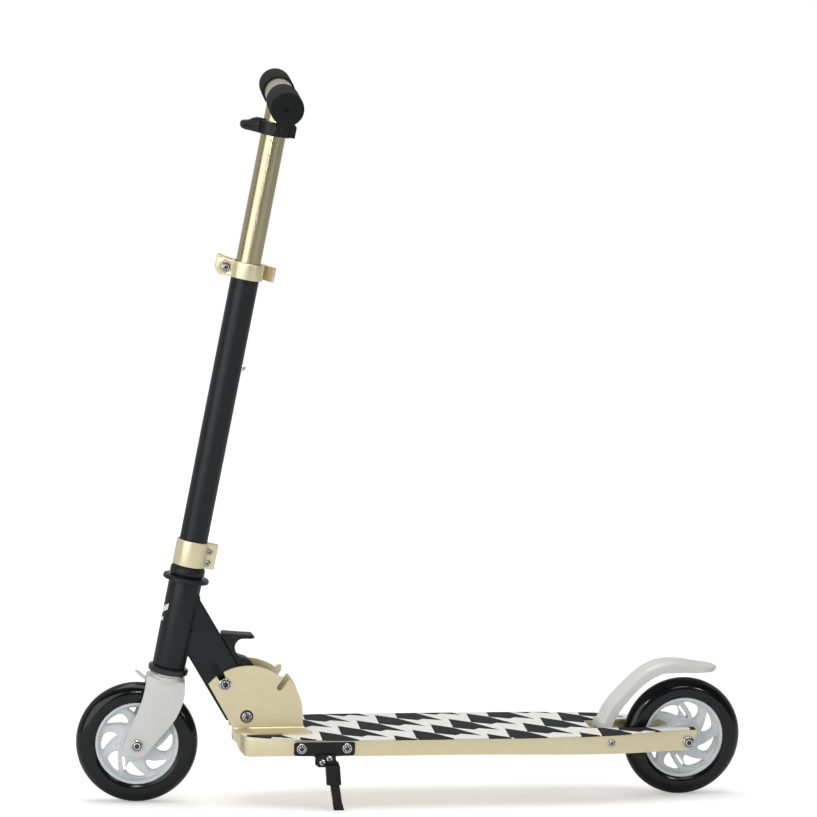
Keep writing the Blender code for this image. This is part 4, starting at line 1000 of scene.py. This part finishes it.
def storage_clip():
    """A plastic ring under the bar, split behind, with a hook in front."""
    low, high = 636.6, 650.0
    ring = tube(12.75, 17.2, low, high, 0.8)
    hook = [(13, low), (30, 637.4), (33.6, 638.4), (35.2, 640.6), (35.0, 644.0), (33.2, 645.6)]
    hook += [(27.4, 647.0), (23.5, 649.6), (19.5, 651.2), (13, 651.2)]
    ear = [(-21.6, 637.6), (-13, 637.2), (-13, 650.6), (-19.6, 650.8), (-21.6, 648.8)]
    cuts = [rod(12.75, 620, 660), block((-40, -1.0, 620), (-11, 1.0, 660))]
    cuts.append(block((19.5, 4.6, 640.6), (31.5, 8, 642.6)))
    made = shaped(ring, join=[slab(hook, -6, 6), slab(ear, -6.5, 6.5)], cut=cuts, edge=0.7)
    piece("storage_clip_shown", made, "steering", "black_plastic", "storage_clip")


# Fender

# Each station down the fender's back: x, z, its depth, its half width and how round its shoulder is
FENDER_STATIONS = [(90.5, 70, 9, 16.5, 2.6), (90.0, 78, 10, 16.5, 2.6), (87.3, 84.8, 10.4, 16.5, 2.8)]
FENDER_STATIONS += [(79.8, 99.0, 10.5, 16.5, 3.2), (66.5, 115.0, 9.9, 16.5, 4.0)]
FENDER_STATIONS += [(53.3, 128.4, 10.0, 16.5, 5.0), (44.5, 135.5, 10.8, 16.5, 6.0)]
FENDER_STATIONS += [(36.9, 139.8, 11.0, 16.5, 6.5), (27.8, 143.2, 10.9, 16.5, 6.8)]
FENDER_STATIONS += [(14.4, 144.6, 11.6, 16.5, 7.0), (2.0, 143.6, 10.8, 16.3, 6.6)]
FENDER_STATIONS += [(-8.5, 141.8, 9.2, 15.9, 6.0), (-18.5, 140.2, 7.2, 15.0, 5.0)]
FENDER_STATIONS += [(-26.0, 139.4, 6.4, 13.0, 4.2), (-31.0, 138.6, 5.0, 10.0, 3.4)]
FENDER_STATIONS += [(-34.2, 137.4, 3.4, 5.0, 2.6)]


def fender():
    """A pressed channel with a soft shoulder, narrow at its bolt and ending in a rounded spoon."""
    pivot = Vector((FENDER_BOLT[0], 0, FENDER_BOLT[2]))
    stations = smooth(FENDER_STATIONS, 5)
    wall = 2.0
    solid = bmesh.new()
    rows = []
    for i, (x, z, drop, wide, bend) in enumerate(stations):
        before, after = stations[max(i - 1, 0)], stations[min(i + 1, len(stations) - 1)]
        ahead = Vector((after[0] - before[0], 0, after[1] - before[1])).normalized()
        down = Vector((-ahead.z, 0, ahead.x))
        r = min(bend, drop * 0.8, wide * 0.8)
        step = 0.6 * min(1, drop / 8)  # the shoulder's crease along the side wall
        outer = [(wide, drop), (wide, drop * 0.5 + r * 0.5)]
        outer += [(wide - step - r + a, r - b) for a, b in arc((0, 0), r, 0, 90, 9)]
        outer.append((wide * 0.35, -0.2))
        small = max(r - wall, 0.5)
        inner = [(wide - wall, drop), (wide - wall, drop * 0.5 + r * 0.5 + wall * 0.4)]
        inner += [(wide - wall - small + a, wall + small - b) for a, b in arc((0, 0), small, 0, 90, 9)]
        inner.append((wide * 0.3, wall - 0.2))
        inner = [(max(a, 0.4), min(b, drop + 0.01 * k)) for k, (a, b) in enumerate(inner)]
        loop = outer + [(-a, b) for a, b in reversed(outer)]
        loop += [(-a, b) for a, b in inner] + inner[::-1]
        middle = Vector((x, 0, z)) - pivot
        rows.append([solid.verts.new(middle + Vector((0, a, 0)) + down * b) for a, b in loop])
    for before, after in zip(rows, rows[1:]):
        for i in range(len(before)):
            solid.faces.new((before[i - 1], before[i], after[i], after[i - 1]))
    count = len(rows[0]) // 2
    for row in (rows[0], rows[-1]):
        for i in range(count - 1):
            solid.faces.new((row[i], row[i + 1], row[-i - 2], row[-i - 1]))
    body = mesh_from(solid)
    lug = arc((0, 0), 6.2, 180, 360, 17) + [(3.0, 12), (-9.5, 16), (-8.0, 8)]
    lugs = [slab(lug, *sorted((hand * 14.5, hand * 16.5))) for hand in (1, -1)]
    made = shaped(body, join=lugs, cut=[crosswise(2.8, -30, 30)], edge=0.35)
    piece("fender_shown", made, "fender", "white_paint", "fender", sharp=45)


def fender_bolt():
    """The bolt that the fender turns on, through the deck's arms."""
    nodes = "fender_pivot_bolt", "fender_pivot_nut"
    fastener("fender_bolt_shown", *nodes, "stance", FENDER_BOLT, 51.2, 4.1, 2.4, 2.0, 1.7)


# Stand


def stand_plate():
    """The plate under the deck's edge, with its tongue for the leg, on two screws."""
    outline = [(424.2, 73.2), (423.0, 74.4), (362.0, 74.4), (360.8, 73.2), (360.8, 62.2), (362.4, 60.6)]
    outline += [(379.6, 60.1), (381.4, 58.4), (381.4, 51.2), (383, 49.8), (400, 49.8), (401.8, 51.4)]
    outline += [(401.8, 58.4), (403.6, 60.1), (422.6, 60.6), (424.2, 62.2)]
    cuts = [crosswise(2.8, 50, 70, centre) for centre in STAND_SCREWS.values()]
    cuts.append(crosswise(2.4, 50, 70, STAND_BOLT))
    plate = shaped(slab(outline, 58.0, 60.0), cut=cuts, edge=0.4)
    piece("stand_plate_shown", plate, "stance", "black_plastic", "kickstand_plate")
    for end, centre in STAND_SCREWS.items():
        shank = rod(2.5, 53, 60.2, 0.2, at=centre, along="y", steps=32)
        node = f"kickstand_screw_{end}"
        head_with_painted_shade(f"stand_screw_{end}_shown", "stance", centre, 60.05, (5.4, 2.6, 2.4), node, shank)


def stand():
    """The leg in its ribbed spring housing, hung on one hollow rivet and stopped by another."""
    outer, face = 60.1, 63.7
    pivot, stop = (0, 0, 0), (7.3, 0, -3.8)
    tongue = [(-6.4, 3.8), (11.4, 3.8), (12.2, 3.0), (12.2, -8.2), (11.4, -9.0), (-10.4, -9.0), (-10.4, -5.0)]
    tongue.append((-7.2, -2.0))
    box = [(4.2, -6.5), (-10.4, -6.5), (-11.4, -16), (-12.6, -26.6), (2.2, -27), (3.2, -16)]
    cuts = [crosswise(2.3, 50, 80, centre) for centre in (pivot, stop)]
    for i in range(7):
        cuts.append(rod(0.85, -20, 20, at=(-4.2, 69.1, -9.4 - 2.55 * i), along="x", steps=16))
    casing = shaped(slab(tongue, outer, face), join=[slab(box, 63.1, 68.7)], cut=cuts, edge=0.45)
    piece("stand_housing_shown", casing, "stand", "black_plastic", "kickstand_housing")
    rivet("pivot", pivot, face)
    rivet("stop", stop, face)
    leg = [(-1.5, -27.2), (-10.8, -27.2), (-13.6, -44), (-14.8, -48), (-18.6, -60), (-7.6, -60)]
    leg = slab([*leg, (-5.0, -48), (-4.6, -44)], 63.3, 68.5)
    ground = block((-300, -300, -300), (300, 300, 0))
    ground.transform(from_frame(None, "stand"))
    cuts = [ground]
    for i in range(4):
        cuts.append(rod(0.5, -20, 20, at=(-9.0 - 0.8 * i, 68.9, -32 - 3.2 * i), along="x", steps=12))
    piece("stand_leg_shown", shaped(leg, cut=cuts, edge=0.5), "stand", "black_plastic", "kickstand_leg")


def rivet(name, centre, face):
    """A hollow rivet of the stand, with a dark disc in its bore as painted shade."""
    cap = [(1.3, 0.1), (1.3, 1.2), (1.9, 1.4), (2.9, 1.0), (3.4, 0.2), (3.4, 0), (1.3, 0)]
    head = bolt_at(lathe(cap, 48), centre, face + 0.05)
    shank = crosswise(2.0, 58.4, face + 0.2, centre)
    node = f"kickstand_{name}_rivet"
    piece(f"stand_rivet_{name}", shaped(head, join=[shank]), "stand", "bright_steel", node)
    # a dark disc at the bottom of the rivet's hollow: painted shade in the bore
    bore = crosswise(1.25, face + 0.1, face + 0.5, centre)
    piece(f"stand_rivet_{name}_bore", bore, "stand", "dark_steel", body=BODY_OF[node])


# Light, floor and camera

CAMERA_AZIMUTH, CAMERA_ELEVATION, CAMERA_ROLL = 11.66, 5.57, 1.28
CAMERA_DISTANCE = 4626.9
FOCAL_SHARE = 5.48229  # the focal length, by the picture's width
SENSOR_WIDTH = 36
CAMERA_TARGET = Vector((299.63, 0, 406.72))  # from the rear wheel's foot on the ground


def camera():
    """A long lens, level with the scooter's left side and a little ahead of it."""
    azimuth, elevation, roll = (math.radians(a) for a in (CAMERA_AZIMUTH, CAMERA_ELEVATION, CAMERA_ROLL))
    level = Vector((math.sin(azimuth), math.cos(azimuth), 0))
    away = level * math.cos(elevation) + Vector((0, 0, math.sin(elevation)))
    right = (-away).cross(Vector((0, 0, 1))).normalized()
    above = right.cross(-away)
    tilted_right = right * math.cos(roll) + above * math.sin(roll)
    tilted_above = above * math.cos(roll) - right * math.sin(roll)
    data = bpy.data.cameras.new("camera")
    data.sensor_width = SENSOR_WIDTH
    data.lens = SENSOR_WIDTH * FOCAL_SHARE
    data.clip_start, data.clip_end = 0.5, 50
    made = bpy.data.objects.new("camera", data)
    bpy.context.scene.collection.objects.link(made)
    foot = Vector((ground_line.x, ground_line.y, 0))
    spot = foot + (CAMERA_TARGET + away * CAMERA_DISTANCE) * MM
    made.matrix_world = frame_at(spot, tilted_right, tilted_above)
    bpy.context.scene.camera = made


def area_light(name, spot, target, size, power):
    data = bpy.data.lights.new(name, "AREA")
    data.shape = "RECTANGLE"
    data.size, data.size_y = size
    data.energy = power
    made = bpy.data.objects.new(name, data)
    bpy.context.scene.collection.objects.link(made)
    made.location = spot
    made.rotation_euler = (Vector(target) - Vector(spot)).to_track_quat("-Z", "Y").to_euler()


ROOM_BEHIND, ROOM_AHEAD = 0.55, 0.08  # how bright the room is behind the scooter and before it


def surroundings():
    """A room that looks white all round, and lights the scooter more from behind than from before it."""
    world = bpy.data.worlds.new("studio")
    world.use_nodes = True
    tree = world.node_tree
    direction = tree.nodes.new("ShaderNodeTexCoord").outputs["Generated"]
    parts = tree.nodes.new("ShaderNodeSeparateXYZ")
    tree.links.new(direction, parts.inputs[0])
    level = tree.nodes.new("ShaderNodeMapRange")
    tree.links.new(parts.outputs["Y"], level.inputs["Value"])
    settings = {"From Min": -0.25, "From Max": 0.25, "To Min": ROOM_BEHIND, "To Max": ROOM_AHEAD}
    for name, value in settings.items():
        level.inputs[name].default_value = value
    seen = tree.nodes.new("ShaderNodeMix")
    tree.links.new(tree.nodes.new("ShaderNodeLightPath").outputs["Is Camera Ray"], seen.inputs[0])
    tree.links.new(level.outputs[0], seen.inputs[2])
    seen.inputs[3].default_value = 1.0
    tree.links.new(seen.outputs[0], tree.nodes["Background"].inputs["Strength"])
    tree.nodes["Background"].inputs["Color"].default_value = (1, 1, 1, 1)
    return world


def studio():
    """A white floor, a broad soft light above, a broad key ahead on the left, and small lights."""
    scene = bpy.context.scene
    scene.view_settings.view_transform = "Standard"
    solid = bmesh.new()
    bmesh.ops.create_circle(solid, cap_ends=True, segments=96, radius=3.2)
    floor = bpy.data.objects.new("floor", mesh_from(solid))
    made = Nodes("floor", 0.9, Specular_IOR_Level=0.1)
    made.use(Base_Color=made.between(made.noise(2), (0.86, 0.86, 0.86), (0.88, 0.88, 0.88)))
    made.shader.inputs["Emission Color"].default_value = (1, 1, 1, 1)
    far = made.node("VectorMath", {0: made.place}, operation="LENGTH").outputs["Value"]
    seen = made.node("LightPath").outputs["Is Camera Ray"]
    made.use(Emission_Strength=made.maths("MULTIPLY", made.between(far, 0.36, 0.85, 0.5, 2.2), seen))
    floor.data.materials.append(made.material)
    scene.collection.objects.link(floor)
    scene.world = surroundings()
    area_light("top", (0.1, 0.1, 2.4), (0, 0, 0.3), (2.4, 1.6), 34)
    area_light("key", (2.1, 1.7, 0.8), (0, 0, 0.35), (2.4, 1.8), 32)
    area_light("fill", (-0.9, 3.0, 1.6), (0, 0, 0.35), (0.7, 0.7), 6)
    area_light("spark_front", (0.45, 1.2, 0.65), (0, 0, 0.1), (0.12, 0.12), 1.5)
    area_light("spark_rear", (-0.92, 1.29, 0.5), (-0.2, 0, 0.05), (0.12, 0.12), 1.2)


def inner_parts():
    """CAD nodes whose shape is right already: sleeves, spacers, springs and hidden bearings."""
    looks = {"steerer_tube": "dark_steel", "fender_spring": "dark_steel", "height_button": "bright_steel"}
    for part in ("bearing_sleeve", "spacer_left", "spacer_right"):
        looks |= {f"front_{part}": "bright_steel", f"rear_{part}": "bright_steel"}
    looks |= {"headset_bearing_upper": "bright_steel", "headset_bearing_lower": "bright_steel"}
    for node, look in looks.items():
        mesh = frame["nodes"][node].data
        mesh.materials.clear()
        mesh.materials.append(LOOKS[look])


camera()
studio()
inner_parts()
wheel("rear", "rear_axle", 90)
wheel("front", "front_axle", 251)
deck()
tape()
fold_plate(1)
fold_plate(-1)
neck()
head_stripes()
headset()
release_lever()
lock_bolt()
fold_bolt()
fork()
axle("rear", "stance", AXLE, 30.6)
axle("front", "steering", FORK_AXLE, 20.0)
stem()
stem_clamp()
quick_clamp()
t_tube()
grip("left", 1)
grip("right", -1)
storage_clip()
fender()
fender_bolt()
stand_plate()
stand()
